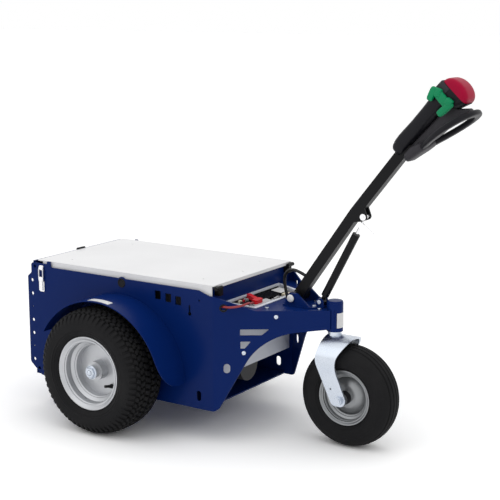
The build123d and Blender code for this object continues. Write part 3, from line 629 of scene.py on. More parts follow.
def dress_node(node: str, finish: Finish) -> None:
    """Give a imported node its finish.

    Args:
        node: The node's name.
        finish: Its surface.
    """
    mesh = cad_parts[node].data
    mesh.materials.clear()
    mesh.materials.append(finish.material())
    LOG.info("node %s: %s", node, finish.name)


def node_box(node: str) -> tuple[Array, Array]:
    """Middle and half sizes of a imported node's box."""
    low, high = (np.array(corner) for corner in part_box(node))
    return (low + high) / 2, (high - low) / 2


AXLE = node_box("drive_tyre_right")[0]


def place(x: float, y: float, z: float) -> Array:
    """Point in the frame from millimetres ahead of the drive axle, to the left and above the ground."""
    return np.array([AXLE[0] + x * MM, y * MM, z * MM])


# Small hardware

def dome(radius: float, height: float, rows: int = 6) -> Array:
    """Profile of a round cap: a quarter of an ellipse from the top down to the rim, and its flat base."""
    angle = np.linspace(0, np.pi / 2, rows)
    curve = np.stack([height * np.cos(angle), radius * np.sin(angle)], axis=1)
    return np.concatenate([curve, [[0.0, 0.0]]])


def screw_head(radius: float, height: float, socket: float) -> Array:
    """Profile of a round screw head with a socket in its top, from the socket's bottom to the base."""
    edge = 0.18 * radius
    return np.array([[0.4 * height, 0.0], [0.4 * height, socket], [height, socket], [height, radius - edge],
                     [height - edge, radius], [0.0, radius], [0.0, 0.0]])


def hex_head(radius: float, height: float) -> Shape:
    """Six-sided bolt head with a chamfered top, drawn about Z from its base."""
    edge = 0.12 * radius
    profile = np.array([[height, 0.0], [height, radius - edge], [height - edge, radius], [0.0, radius],
                        [0.0, 0.0]])
    return lathe(profile, 6, False)


def fasteners(name: str, shape: Shape, seats: Sequence[tuple[Array, Sequence[float]]],
              finish: Finish, body: Body) -> bpy.types.Object:
    """One piece with a copy of a fastener, drawn about Z from its base, at each point and direction."""
    matrices = [facing(point, direction, 17.0 * index) for index, (point, direction) in enumerate(seats)]
    return put_piece(name, repeated(*shape, matrices), finish, body)


# Tyres

@dataclass
class TyreForm:
    """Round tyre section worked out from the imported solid's size."""

    node: str
    body: Body
    finish: Finish = RUBBER
    bead_share: float = 0.585
    wide_share: float = 0.74
    crown_power: float = 2.9
    wall_power: float = 2.2
    bead_half_share: float = 0.78
    steps: int = 160

    def __post_init__(self) -> None:
        """Read the tyre's place and size."""
        self.centre, half = node_box(self.node)
        self.radius = float(half[2])
        self.half = float(half[1])

    def section(self, turn: Array, crown: float) -> Array:
        """Outer section: two super-ellipse quarters, wide in the wall and flat at the crown.

        Args:
            turn: Angles, 0 at the crown's middle and a right angle at the widest place, more below it.
            crown: Radius at the crown.

        Returns:
            Rows of offset and radius.
        """
        wide = self.wide_share * self.radius
        bead = self.bead_share * self.radius
        sine, cosine = np.sin(turn), np.cos(turn)
        above = np.abs(cosine) ** (2 / self.crown_power)
        below = np.abs(cosine) ** (2 / self.wall_power)
        reach = np.abs(sine) ** (2 / self.crown_power)
        foot = self.bead_half_share + (1 - self.bead_half_share) * np.abs(sine) ** 1.4
        offset = np.sign(turn) * self.half * np.where(cosine >= 0, reach, foot)
        level = np.where(cosine >= 0, wide + (crown - wide) * above, wide - (wide - bead) * below)
        return np.stack([offset, level], axis=-1)

    def to_wheel(self, points: Array) -> Array:
        """Points drawn about Z carried to the wheel's place, with Z along the machine's Y."""
        turned = np.stack([points[:, 0], points[:, 2], -points[:, 1]], axis=-1)
        return turned + self.centre

    def bead(self) -> Array:
        """Inside of the section from one bead to the other, under the rim's flanges."""
        inner = (self.bead_share - 0.075) * self.radius
        half = self.bead_half_share * self.half
        return np.array([[half, inner], [-half, inner]])


@dataclass
class TurfTyre(TyreForm):
    """Drive tyre with sidewall rings, shoulder bars and rows of wavy blocks."""

    bars: int = 60
    lug: float = 0.0090
    ring_places: tuple[float, ...] = (0.660, 0.700, 0.845)
    ring_height: float = 0.0016

    def build(self) -> bpy.types.Object:
        """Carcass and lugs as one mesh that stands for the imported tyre.

        Returns:
            The object.
        """
        shape = joined([self.carcass(), self.lugs()])
        piece = put_piece(self.node + "_turf", shape, self.finish, self.body)
        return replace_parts(piece, self.node)

    def carcass(self) -> Shape:
        """Section turned about the axle, its wall raised in narrow rings by bell curves of the radius."""
        turn = np.radians(np.linspace(-178, 178, 121))
        rows = self.section(turn, self.radius - self.lug)
        rings = sum(np.exp(-((rows[:, 1] / self.radius - spot) / 0.0065) ** 2) for spot in self.ring_places)
        rows[:, 0] += np.sign(rows[:, 0]) * self.ring_height * rings * (np.abs(rows[:, 0]) > 0.8 * self.half)
        points, faces = lathe(np.concatenate([rows, self.bead()]), self.steps, True)
        return self.to_wheel(points), faces

    def lugs(self) -> Shape:
        """Every lug: a patch of the section raised to a rounded plateau, repeated round the tyre."""
        pitch = 2 * np.pi / self.bars
        # first and last section angle, share of the pitch filled, phase, wave of its sides
        rows = ((43.0, 82.0, 0.60, 0.00, 0.00), (29.5, 41.0, 0.70, 0.50, 0.30),
                (14.5, 27.0, 0.70, 0.05, -0.30), (0.8, 12.5, 0.70, 0.55, 0.30))
        parts = []
        for low, high, fill, phase, wave in rows:
            for side in (-1, 1):
                shift = phase if side > 0 else phase + 0.37
                parts.append(self.lug_row(np.radians([side * low, side * high]), fill * pitch, shift * pitch,
                                          wave * pitch))
        return joined(parts)

    def lug_row(self, reach: Array, width: float, start: float, wave: float) -> Shape:
        """One row of lugs.

        Args:
            reach: First and last angle in the section.
            width: Angle that a lug fills round the tyre.
            start: Angle of the first lug.
            wave: Sideways swing of the lug's middle line as an angle.

        Returns:
            Points and quads.
        """
        ramp = np.array([0.0, 0.02, 0.10, 0.35, 0.65, 0.90, 0.98, 1.0])
        lift = np.array([0.0, 0.75, 1.0, 1.0, 1.0, 1.0, 0.75, 0.0])
        along, around = np.meshgrid(ramp, ramp, indexing="ij")
        height = np.minimum(*np.meshgrid(lift, lift, indexing="ij"))
        section_turn = reach[0] + (reach[1] - reach[0]) * along
        low = self.section(section_turn, self.radius - self.lug - 0.0015)
        high = self.section(section_turn, self.radius)
        rows = low + (high - low) * height[..., None]
        swing = wave * np.sin(2 * np.pi * along) / 2
        angle = start + width * (around - 0.5) + swing
        turns = np.arange(self.bars)[:, None, None] * 2 * np.pi / self.bars + angle[None]
        level, offset = rows[None, ..., 1], np.broadcast_to(rows[None, ..., 0], turns.shape)
        points = np.stack([level * np.cos(turns), level * np.sin(turns), offset], axis=-1)
        patch = grid_faces(len(ramp), len(ramp), False, False)
        shift = np.arange(self.bars)[:, None, None] * len(ramp) ** 2
        return self.to_wheel(points.reshape(-1, 3)), (patch[None] + shift).reshape(-1, 4)


@dataclass
class RibbedTyre(TyreForm):
    """Castor tyre with ribs and grooves round its crown."""

    bead_share: float = 0.548
    wide_share: float = 0.73
    crown_power: float = 2.25
    bead_half_share: float = 0.72
    groove_places: tuple[float, ...] = (-0.56, -0.30, 0.0, 0.30, 0.56)
    groove_depth: float = 0.0042
    groove_width: float = 0.036

    def build(self) -> bpy.types.Object:
        """Section turned about the axle, its crown cut by narrow bell-shaped grooves.

        Returns:
            The object.
        """
        turn = np.radians(np.concatenate([np.linspace(-178, -70, 50), np.linspace(-69, 69, 181),
                                          np.linspace(70, 178, 50)]))
        rows = self.section(turn, self.radius)
        share = rows[:, 0] / self.half
        cuts = sum(np.exp(-((share - spot) / self.groove_width) ** 4) for spot in self.groove_places)
        rows[:, 1] -= self.groove_depth * cuts * (np.cos(turn) > 0)
        rings = sum(np.exp(-((rows[:, 1] / self.radius - spot) / 0.008) ** 2) for spot in (0.62, 0.80))
        rows[:, 0] += np.sign(rows[:, 0]) * 0.0012 * rings * (np.abs(share) > 0.8)
        points, faces = lathe(np.concatenate([rows, self.bead()]), self.steps, True)
        shape = (self.to_wheel(points), faces)
        piece = put_piece(self.node + "_ribbed", shape, self.finish, self.body)
        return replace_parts(piece, self.node)


# Sub-assemblies

class Assembly:
    """Part of the machine: pieces that it adds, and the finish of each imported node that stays."""

    finishes: ClassVar[Mapping[str, Finish]] = {}

    def build(self) -> None:
        """Add pieces: none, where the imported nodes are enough."""

    def dress(self) -> None:
        """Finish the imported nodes."""
        for node, finish in self.finishes.items():
            dress_node(node, finish)


@dataclass
class DriveWheel(Assembly):
    """One drive wheel: turf tyre, silver rim, valve and the hub's end."""

    side: Side
    valve_radius: float = 66.0
    valve_turn: float = -48.0
    valve_length: float = 30.0
    hub_reach: float = 50.0
    # radius and height of nut and shaft's end, and radius, height and hole of the washer
    nut: tuple[float, float] = (17.4, 8.6)
    shaft_end: tuple[float, float] = (9.0, 5.0)
    shaft_seat: float = 8.9
    washer: Point = (22.0, 2.2, 5.0)

    def build(self) -> None:
        """Make the tyre, the valve and the hub's end."""
        body = Body.WHEEL_RIGHT if self.side is Side.RIGHT else Body.WHEEL_LEFT
        TurfTyre(f"drive_tyre_{self.side.word}", body).build()
        centre, _ = node_box(f"drive_tyre_{self.side.word}")
        turn = math.radians(self.valve_turn)
        out = np.array([0.0, self.side.value, 0.0])
        spoke = np.array([math.cos(turn), 0.0, math.sin(turn)])
        seat = centre + spoke * self.valve_radius * MM + out * 3 * MM
        length = self.valve_length * MM
        # height along the valve and radius
        stem = np.array([[-0.001, 0.0], [-0.001, 0.0075], [0.004, 0.0072], [0.010, 0.0050], [0.020, 0.0042],
                         [0.021, 0.0046], [length - 0.001, 0.0046], [length, 0.0036], [length, 0.0]])
        valve = carried(lathe(stem, 20, False), facing(seat, out - 0.25 * spoke))
        put_piece(f"valve_{self.side.word}", valve, BLACK_CABLE, body)
        self.hub_end(centre, out, body)

    def hub_end(self, centre: Array, out: Array, body: Body) -> None:
        """Washer, plated nut and the shaft's domed end on the hub.

        Args:
            centre: Middle of the wheel.
            out: Direction away from the machine.
            body: The wheel.
        """
        seat = centre + out * self.hub_reach * MM
        washer = lathe(screw_head(*(size * MM for size in self.washer)), 40, False)
        nut = hex_head(*(size * MM for size in self.nut))
        shaft_end = lathe(dome(*(size * MM for size in self.shaft_end)), 32, False)
        # distance out from the wheel's middle and radius
        barrel = np.array([[26.0, 20.5], [48.5, 20.5], [50.0, 19.0], [50.0, 8.0]]) * MM
        sleeve = carried(lathe(barrel, 40, False), facing(centre, out))
        put_piece(f"hub_barrel_{self.side.word}", sleeve, SILVER, body)
        parts = [carried(washer, facing(seat, out)), carried(nut, facing(seat, out)),
                 carried(shaft_end, facing(seat + out * self.shaft_seat * MM, out))]
        put_piece(f"hub_nut_{self.side.word}", joined(parts), ZINC, body)

    def dress(self) -> None:
        """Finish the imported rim."""
        dress_node(f"drive_rim_{self.side.word}", SILVER)


@dataclass
class Castor(Assembly):
    """Front castor: ribbed tyre, rim, zinc fork, stem and axle."""

    finishes = {"castor_rim": DULL, "castor_fork": ZINC, "castor_stem": ZINC, "castor_axle": ZINC}

    def build(self) -> None:
        """Make the tyre, the black seals on the hub's ends and the dished discs."""
        RibbedTyre("castor_tyre", Body.CASTOR_WHEEL).build()
        centre, half = node_box("castor_rim")
        reach = half[1]
        # height from the hub's end and radius
        seal = np.array([[-26.0, 19.0], [-26.0, 20.6], [-3.0, 20.6], [0.4, 17.0], [0.4, 9.0],
                         [-2.0, 9.0]]) * MM
        ends = [facing(centre + np.array([0, sign * reach, 0]), (0, sign, 0)) for sign in (-1, 1)]
        put_piece("castor_seals", repeated(*lathe(seal, 40, True), ends), DARK, Body.CASTOR_WHEEL)
        # pressed discs, dished out from the rim's well to the hub: distance from the middle and radius
        dish = np.array([[2.0, 64.0], [5.0, 62.5], [22.0, 37.0], [24.0, 33.0], [24.0, 19.0],
                         [2.0, 19.0]]) * MM
        sides = [facing(centre, (0, sign, 0)) for sign in (-1, 1)]
        discs = repeated(*lathe(dish, 64, True), sides)
        put_piece("castor_discs", discs, DULL, Body.CASTOR_WHEEL)


@dataclass
class Chassis(Assembly):
    """Folded body: side plates, cross plates, nose, fenders, latches and the masses inside."""

    finishes = {"side_plate_right": BLUE, "side_plate_left": BLUE, "rear_plate": BLUE, "floor_pan": BLUE,
                "battery_shelf": BLUE, "nose_deck": BLUE, "swivel_tube": BLUE, "tiller_bracket": BLUE,
                "front_panel": PALE, "transaxle": CAST, "batteries": CASE, "pivot_pins": ZINC,
                "toggle_latch_right": STEEL, "toggle_latch_left": STEEL}
    # x, y of the bracket's and the deck's bolts
    bracket_bolts: tuple[tuple[float, float], ...] = ((509.0, 28.0), (572.0, 29.0), (600.0, 27.0))
    deck_bolts: tuple[tuple[float, float], ...] = ((622.0, 34.0), (484.0, 112.0))
    bracket_z: float = 421.8
    deck_z: float = 417.5
    # along the slanted plate from the bend, height
    plate_bolts: tuple[tuple[float, float], ...] = ((189.0, 399.0), (92.0, 288.0))
    power_hole: tuple[float, float] = (31.0, 427.0)
    power_hole_radius: float = 10.0
    sight_hole: tuple[float, float] = (19.0, 461.0)
    bend: tuple[float, float] = (369.0, 231.0)
    nose_angle: float = 35.06
    latch_place: tuple[float, float] = (-315.0, 475.0)
    fender_axis: tuple[float, float] = (12.0, 175.0)
    fender_radius: float = 250.0
    fender_sheet: float = 3.0
    fender_rear: float = 150.0
    fender_corner: float = 100.0
    # blank plates: first and last angle in degrees, first and last place across them in metres
    fender_plate: tuple[tuple[float, float], tuple[float, float]] = ((79.0, 97.5), (0.006, 0.031))
    nose_plate: tuple[tuple[float, float], tuple[float, float]] = ((-47.0, 28.0), (0.3625, 0.4085))
    plate_lift: float = 0.0001
    plate_thick: float = 0.0005
    # welds: heights, radius and length of a ripple in metres
    weld_heights: tuple[float, float] = (0.363, 0.4165)
    weld_radius: float = 0.0026
    weld_ripple: float = 0.0042

    def on_nose(self, side: Side, along: float, height: float, out: float = 0.0) -> tuple[Array, Array]:
        """Point on a slanted plate and the direction out of it.

        Args:
            side: Which plate.
            along: Millimetres along it from the bend.
            height: Millimetres above the ground.
            out: Millimetres out from its face.

        Returns:
            Point in the frame and outward direction.
        """
        turn = math.radians(self.nose_angle)
        outward = np.array([math.sin(turn), side.value * math.cos(turn), 0.0])
        x = self.bend[0] + along * math.cos(turn)
        y = side.value * (self.bend[1] - along * math.sin(turn))
        return place(x, y, height) + outward * out * MM, outward

    def build(self) -> None:
        """Make bolts, plugs, plates, welds, the swivel cap, fenders and the latches' wires."""
        bolt = hex_head(6.5 * MM, 4.5 * MM)
        seats = [(place(x, side.value * y, height), (0, 0, 1)) for side in Side
                 for rows, height in ((self.bracket_bolts, self.bracket_z), (self.deck_bolts, self.deck_z))
                 for x, y in rows]
        fasteners("deck_bolts", bolt, seats, ZINC, Body.CHASSIS)
        seats = [self.on_nose(side, *row) for side in Side for row in self.plate_bolts]
        screw = lathe(screw_head(6.5 * MM, 4 * MM, 2.8 * MM), 20, False)
        fasteners("plate_bolts", screw, seats, ZINC, Body.CHASSIS)
        self.plugs()
        self.plates()
        self.welds()
        self.swivel_cap()
        for side in Side:
            self.fender(side)
            self.latch(side)

    def plugs(self) -> None:
        """Rubber plugs in the sight holes and a grommet round each power hole."""
        # height out of the plate and radius
        plug = np.array([[-3.0, 0.0], [-3.0, 9.5], [0.9, 11.0], [1.9, 12.4], [1.9, 14.0], [0.0, 15.0],
                         [0.0, 0.0]]) * MM
        x, z = self.sight_hole
        seats = [(place(x, side.value * self.bend[1], z), (0, side.value, 0)) for side in Side]
        fasteners("sight_plugs", lathe(plug, 40, False), seats, DARK, Body.CHASSIS)
        turn = np.linspace(0, 2 * np.pi, 12, endpoint=False)
        ring = np.stack([2.2 * np.cos(turn), self.power_hole_radius + 2.2 * np.sin(turn)], axis=1) * MM
        seats = [self.on_nose(side, *self.power_hole) for side in Side]
        fasteners("power_grommets", lathe(ring, 40, True), seats, DARK, Body.CHASSIS)

    def swivel_cap(self) -> None:
        """Painted cap that closes the top of the swivel tube."""
        middle, half = node_box("swivel_tube")
        seat = np.array([middle[0], middle[1], middle[2] + half[2]])
        # height over the tube and radius
        cap = np.array([[-0.5, 24.2], [4.0, 24.2], [6.0, 22.0], [6.4, 12.0], [6.4, 0.0]]) * MM
        fasteners("swivel_cap", lathe(cap, 48, False), [(seat, (0, 0, 1))], BLUE, Body.CHASSIS)

    def plates(self) -> None:
        """Blank plates where the machine has room for them: on the right fender and round the swivel tube."""
        centre, half = node_box("fender_right")
        outer = centre[1] - half[1]
        turns, (first, last) = self.fender_plate
        strip = wrapped_plate(self.fender_centre(), "y", self.fender_radius * MM + self.plate_lift, turns,
                              (outer + first, outer + last), self.plate_thick)
        put_piece("fender_plate", strip, BLANK, Body.CHASSIS)
        middle, reach = node_box("swivel_tube")
        band = wrapped_plate(middle[:2], "z", reach[0] + self.plate_lift, *self.nose_plate, self.plate_thick)
        put_piece("nose_plate", band, BLANK, Body.CHASSIS)

    def fender_centre(self) -> tuple[float, float]:
        """X and Z of the fenders' axis in the frame."""
        spot = place(self.fender_axis[0], 0, self.fender_axis[1])
        return spot[0], spot[2]

    def fender(self, side: Side) -> None:
        """Rolled sheet over a wheel whose outer edge curves in towards the front end.

        Args:
            side: Which fender.
        """
        node = f"fender_{side.word}"
        centre, half = node_box(node)
        steps = 181
        level = self.fender_radius * np.sin(np.radians(np.linspace(0.0, self.fender_rear, steps)))
        inset = np.clip(self.fender_corner - level, 0.0, None)
        inset = np.where(np.linspace(0.0, 1.0, steps) < 0.5, inset, 0.0)
        cut = self.fender_corner - np.sqrt(self.fender_corner ** 2 - inset ** 2)
        outer = centre[1] + side.value * (half[1] - cut * MM)
        inner = centre[1] - side.value * half[1]
        radius = (self.fender_radius - self.fender_sheet) * MM
        sheet = wrapped_plate(self.fender_centre(), "y", radius, (0.0, self.fender_rear), (outer, inner),
                              self.fender_sheet * MM, steps)
        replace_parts(put_piece(f"rolled_fender_{side.word}", sheet, BLUE, Body.CHASSIS), node)

    def welds(self) -> None:
        """Rippled weld beads where the slanted plates meet the swivel tube: bars whose radius waves."""
        low, high = self.weld_heights
        height = np.linspace(low, high, 120)
        ripple = self.weld_radius * (1 + 0.14 * np.abs(np.sin(np.pi * (height - low) / self.weld_ripple)))
        ripple[[0, -1]] = 0.0
        middle, reach = node_box("swivel_tube")
        parts = []
        for side in Side:
            turn = math.radians(self.nose_angle)
            out = np.array([math.sin(turn), side.value * math.cos(turn)])
            along = np.array([math.cos(turn), -side.value * math.sin(turn)])
            spot = middle[:2] + out * (reach[0] + 0.0008) - along * 0.002
            path = np.stack([np.full_like(height, spot[0]), np.full_like(height, spot[1]), height], axis=-1)
            parts.append(sweep(path, (1.0, 0.0, 0.0), oval(1.0, 1.0), ripple))
        put_piece("nose_welds", joined(parts), BLUE, Body.CHASSIS, 60.0)

    def latch(self, side: Side) -> None:
        """Draw wire, hook, lever ribs and rivets of one toggle latch.

        Args:
            side: Which latch.
        """
        x, top = self.latch_place
        out = np.array([0.0, side.value, 0.0])
        face = place(x, side.value * self.bend[1], 0)

        def spot(right: float, down: float, proud: float) -> Array:
            """Point on the latch from its middle line, the plate's top edge and the plate's face."""
            return face + np.array([right, 0, top - down]) * MM + out * proud * MM

        loop = oval(8.6 * MM, 24.0 * MM, 0.45, 64)
        wire = np.stack([loop[:, 0], np.zeros(len(loop)), loop[:, 1]], axis=-1) + spot(0, 27, 7.6)
        parts = [sweep(wire, (0, 1, 0), oval(1.5 * MM, 1.5 * MM), 1.0, True)]
        hook = carried(block((7.5 * MM, 5.0 * MM, 2.4 * MM)), facing(spot(0, 4.5, 6.0), out))
        lever = [carried(block((5.5 * MM, 1.1 * MM, 0.9 * MM)), facing(spot(0, 46 + 5 * step, 8.6), out))
                 for step in range(7)]
        rivets = [carried(lathe(dome(2.6 * MM, 1.6 * MM), 16, False), facing(spot(right, down, proud), out))
                  for right, down, proud in ((-6, 80, 2.6), (6, 80, 2.6), (-5.5, 0, 4.2), (5.5, 0, 4.2))]
        shape = joined([*parts, hook, *lever, *rivets])
        put_piece(f"latch_wire_{side.word}", shape, STEEL, Body.CHASSIS)


@dataclass
class Lid(Assembly):
    """White folded lid with its pull and hinges."""

    finishes = {"lid": WHITE, "lid_pull": DARK, "lid_knuckles": BLACK, "lid_hinges": BLACK}


@dataclass
class ControllerBay(Assembly):
    """Open bay with the controller, the power connector and both cables."""

    finishes = {"controller_pan": PALE, "motor_controller": DARK, "power_connector": GREY,
                "connector_handle": SCARLET}
    # x, y, z along each route
    power_route: tuple[Point, ...] = ((379.0, -206.9, 430.5), (412.2, -217.8, 431.0), (447.0, -195.8, 437.0),
                                      (454.4, -161.3, 442.0), (432.7, -131.3, 428.4), (432.7, -106.3, 428.4))
    control_route: tuple[Point, ...] = ((467.0, 35.0, 420.0), (455.0, 37.0, 455.0), (453.0, 37.0, 488.0),
                                        (474.0, 31.0, 511.0), (511.0, 18.0, 516.0), (551.0, 3.0, 506.0))
    bay_start: Point = (356.3, 0.0, 428.0)
    bay_slope: float = 5.67
    # half width and place along the bay of the board's ends, and its underside and top
    board_ends: tuple[tuple[float, float], ...] = ((146.0, 12.0), (121.0, 92.0))
    board_levels: tuple[float, float] = (-27.3, -25.8)
    board_keeps: tuple[str, ...] = ("motor_controller", "power_connector", "connector_handle")
    power_length: float = 169.0
    control_length: float = 182.0
    power_radius: float = 3.5
    control_radius: float = 5.0

    def build(self) -> None:
        """Make the cables, the terminals and the board."""
        self.cable("power_cable", self.power_route, self.power_radius, self.power_length, RED_CABLE,
                   "red_cable")
        self.cable("control_cable", self.control_route, self.control_radius, self.control_length, BLACK_CABLE,
                   "black_cable")
        self.terminals()
        self.board()

    def in_bay(self, along: float, left: float, up: float) -> Array:
        """Matrix of a piece in the bay, from millimetres down its slope, to the left and out of the deck."""
        axes = raised(-self.bay_slope)
        matrix = np.eye(4)
        matrix[:3, :3] = axes.T
        matrix[:3, 3] = place(*self.bay_start) + np.array([along, left, up]) @ axes * MM
        return matrix

    def terminals(self) -> None:
        """Blank plate, terminal blocks, studs and fuses round the controller."""
        # name, finish, slot, exponent, rows of along, left, up and half sizes
        rows = (
            ("controller_plate", BLANK, "white_paint", 0.12, ((40, 103, -2.6, 19, 24, 0.6),)),
            ("terminal_strip", CREAM, "grey_plastic", 0.2,
             ((91.0, -30, -9, 2.6, 62, 8), (70, 92, -14, 7, 17, 12))),
            ("terminal_blocks", GREY, "grey_plastic", 0.25,
             ((77, 28, -16, 10, 22, 10), (77, 58, -17, 9, 7, 9), (16, -38, -14, 6, 22, 10))),
            ("fuse_boots", SCARLET, "red_plastic", 0.4, ((84, 108, -8, 5, 9, 7), (18, -82, -10, 6, 11, 8))),
            ("relay_boxes", DARK, "black_plastic", 0.2,
             ((48, -92, -14, 13, 17, 12), (20, -116, -15, 9, 12, 11))),
            ("bay_liner", DARK, "black_plastic", 0.08, ((11.4, 0, -14.2, 1.1, 139, 12.0),)))
        for name, finish, slot, power, places in rows:
            parts = [carried(block(np.array(half) * MM, power), self.in_bay(along, left, up))
                     for along, left, up, *half in places]
            put_piece(name, joined(parts), finish, Body.CHASSIS)
        stud = hex_head(4.6 * MM, 5.0 * MM)
        spots = [(77, left, -6.2) for left in (14, 28, 42)] + [(16, left, -4.2) for left in (-50, -38, -26)]
        nuts = joined([carried(stud, self.in_bay(*spot)) for spot in spots])
        put_piece("terminal_nuts", nuts, STEEL, Body.CHASSIS)

    def board(self) -> None:
        """Dark board on the pan's floor, with small parts scattered on it clear of the larger ones."""
        corners = np.array([(side * half, along) for side in (-1, 1) for half, along in self.board_ends])
        low, high = self.board_levels
        points = np.array([(along, left, up) for up in (low, high) for left, along in corners]) * MM
        faces = np.array([(0, 2, 3, 1), (4, 5, 7, 6), (0, 1, 5, 4), (1, 3, 7, 5), (3, 2, 6, 7), (2, 0, 4, 6)])
        slab = carried((points, faces), self.in_bay(0, 0, 0))
        put_piece("bay_board", slab, DARK, Body.CHASSIS)
        draw = np.random.default_rng(11)
        boxes = [np.array(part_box(node)).reshape(2, 3) for node in self.board_keeps]
        for name, finish, slot, count in (("board_chips", SLATE, "black_plastic", 44),
                                          ("board_lugs", GREY, "grey_plastic", 26),
                                          ("board_fuses", CREAM, "grey_plastic", 16)):
            spots = draw.uniform((14, -118), (84, 118), (count, 2))
            sizes = draw.uniform((2.2, 3.0, 8.0), (4.5, 7.0, 17.0), (count, 3))
            parts = []
            for (along, left), half in zip(spots, sizes):
                seat = self.in_bay(along, left, high + half[2])
                reach = half[:2].max() * MM
                inside = [np.all((seat[:2, 3] > box[0, :2] - reach) & (seat[:2, 3] < box[1, :2] + reach))
                          for box in boxes]
                if not any(inside):
                    parts.append(carried(block(half * MM, 0.2, 8, 16), seat))
            put_piece(name, joined(parts), finish, Body.CHASSIS)

    def cable(self, node: str, route: Sequence[Point], radius: float, length: float, finish: Finish,
              slot: str) -> None:
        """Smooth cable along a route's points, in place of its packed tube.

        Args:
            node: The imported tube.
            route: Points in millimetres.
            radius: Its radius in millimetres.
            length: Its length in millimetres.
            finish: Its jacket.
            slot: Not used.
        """
        curve = bpy.data.curves.new(node + "_jacket", "CURVE")
        curve.dimensions = "3D"
        curve.bevel_depth = radius * MM
        curve.bevel_resolution = 6
        curve.use_fill_caps = True
        spline = curve.splines.new("NURBS")
        spline.points.add(len(route) - 1)
        points = np.array([(*place(*row), 1.0) for row in route])
        spline.points.foreach_set("co", points.ravel())
        spline.order_u = 3
        spline.use_endpoint_u = True
        spline.resolution_u = 16
        curve.materials.append(finish.material())
        piece = bpy.data.objects.new(node + "_jacket", curve)
        bpy.context.scene.collection.objects.link(piece)
        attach(piece, Body.CHASSIS.value)
        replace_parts(piece, node)
        LOG.info("cable %s: %.0f mm", node, length)


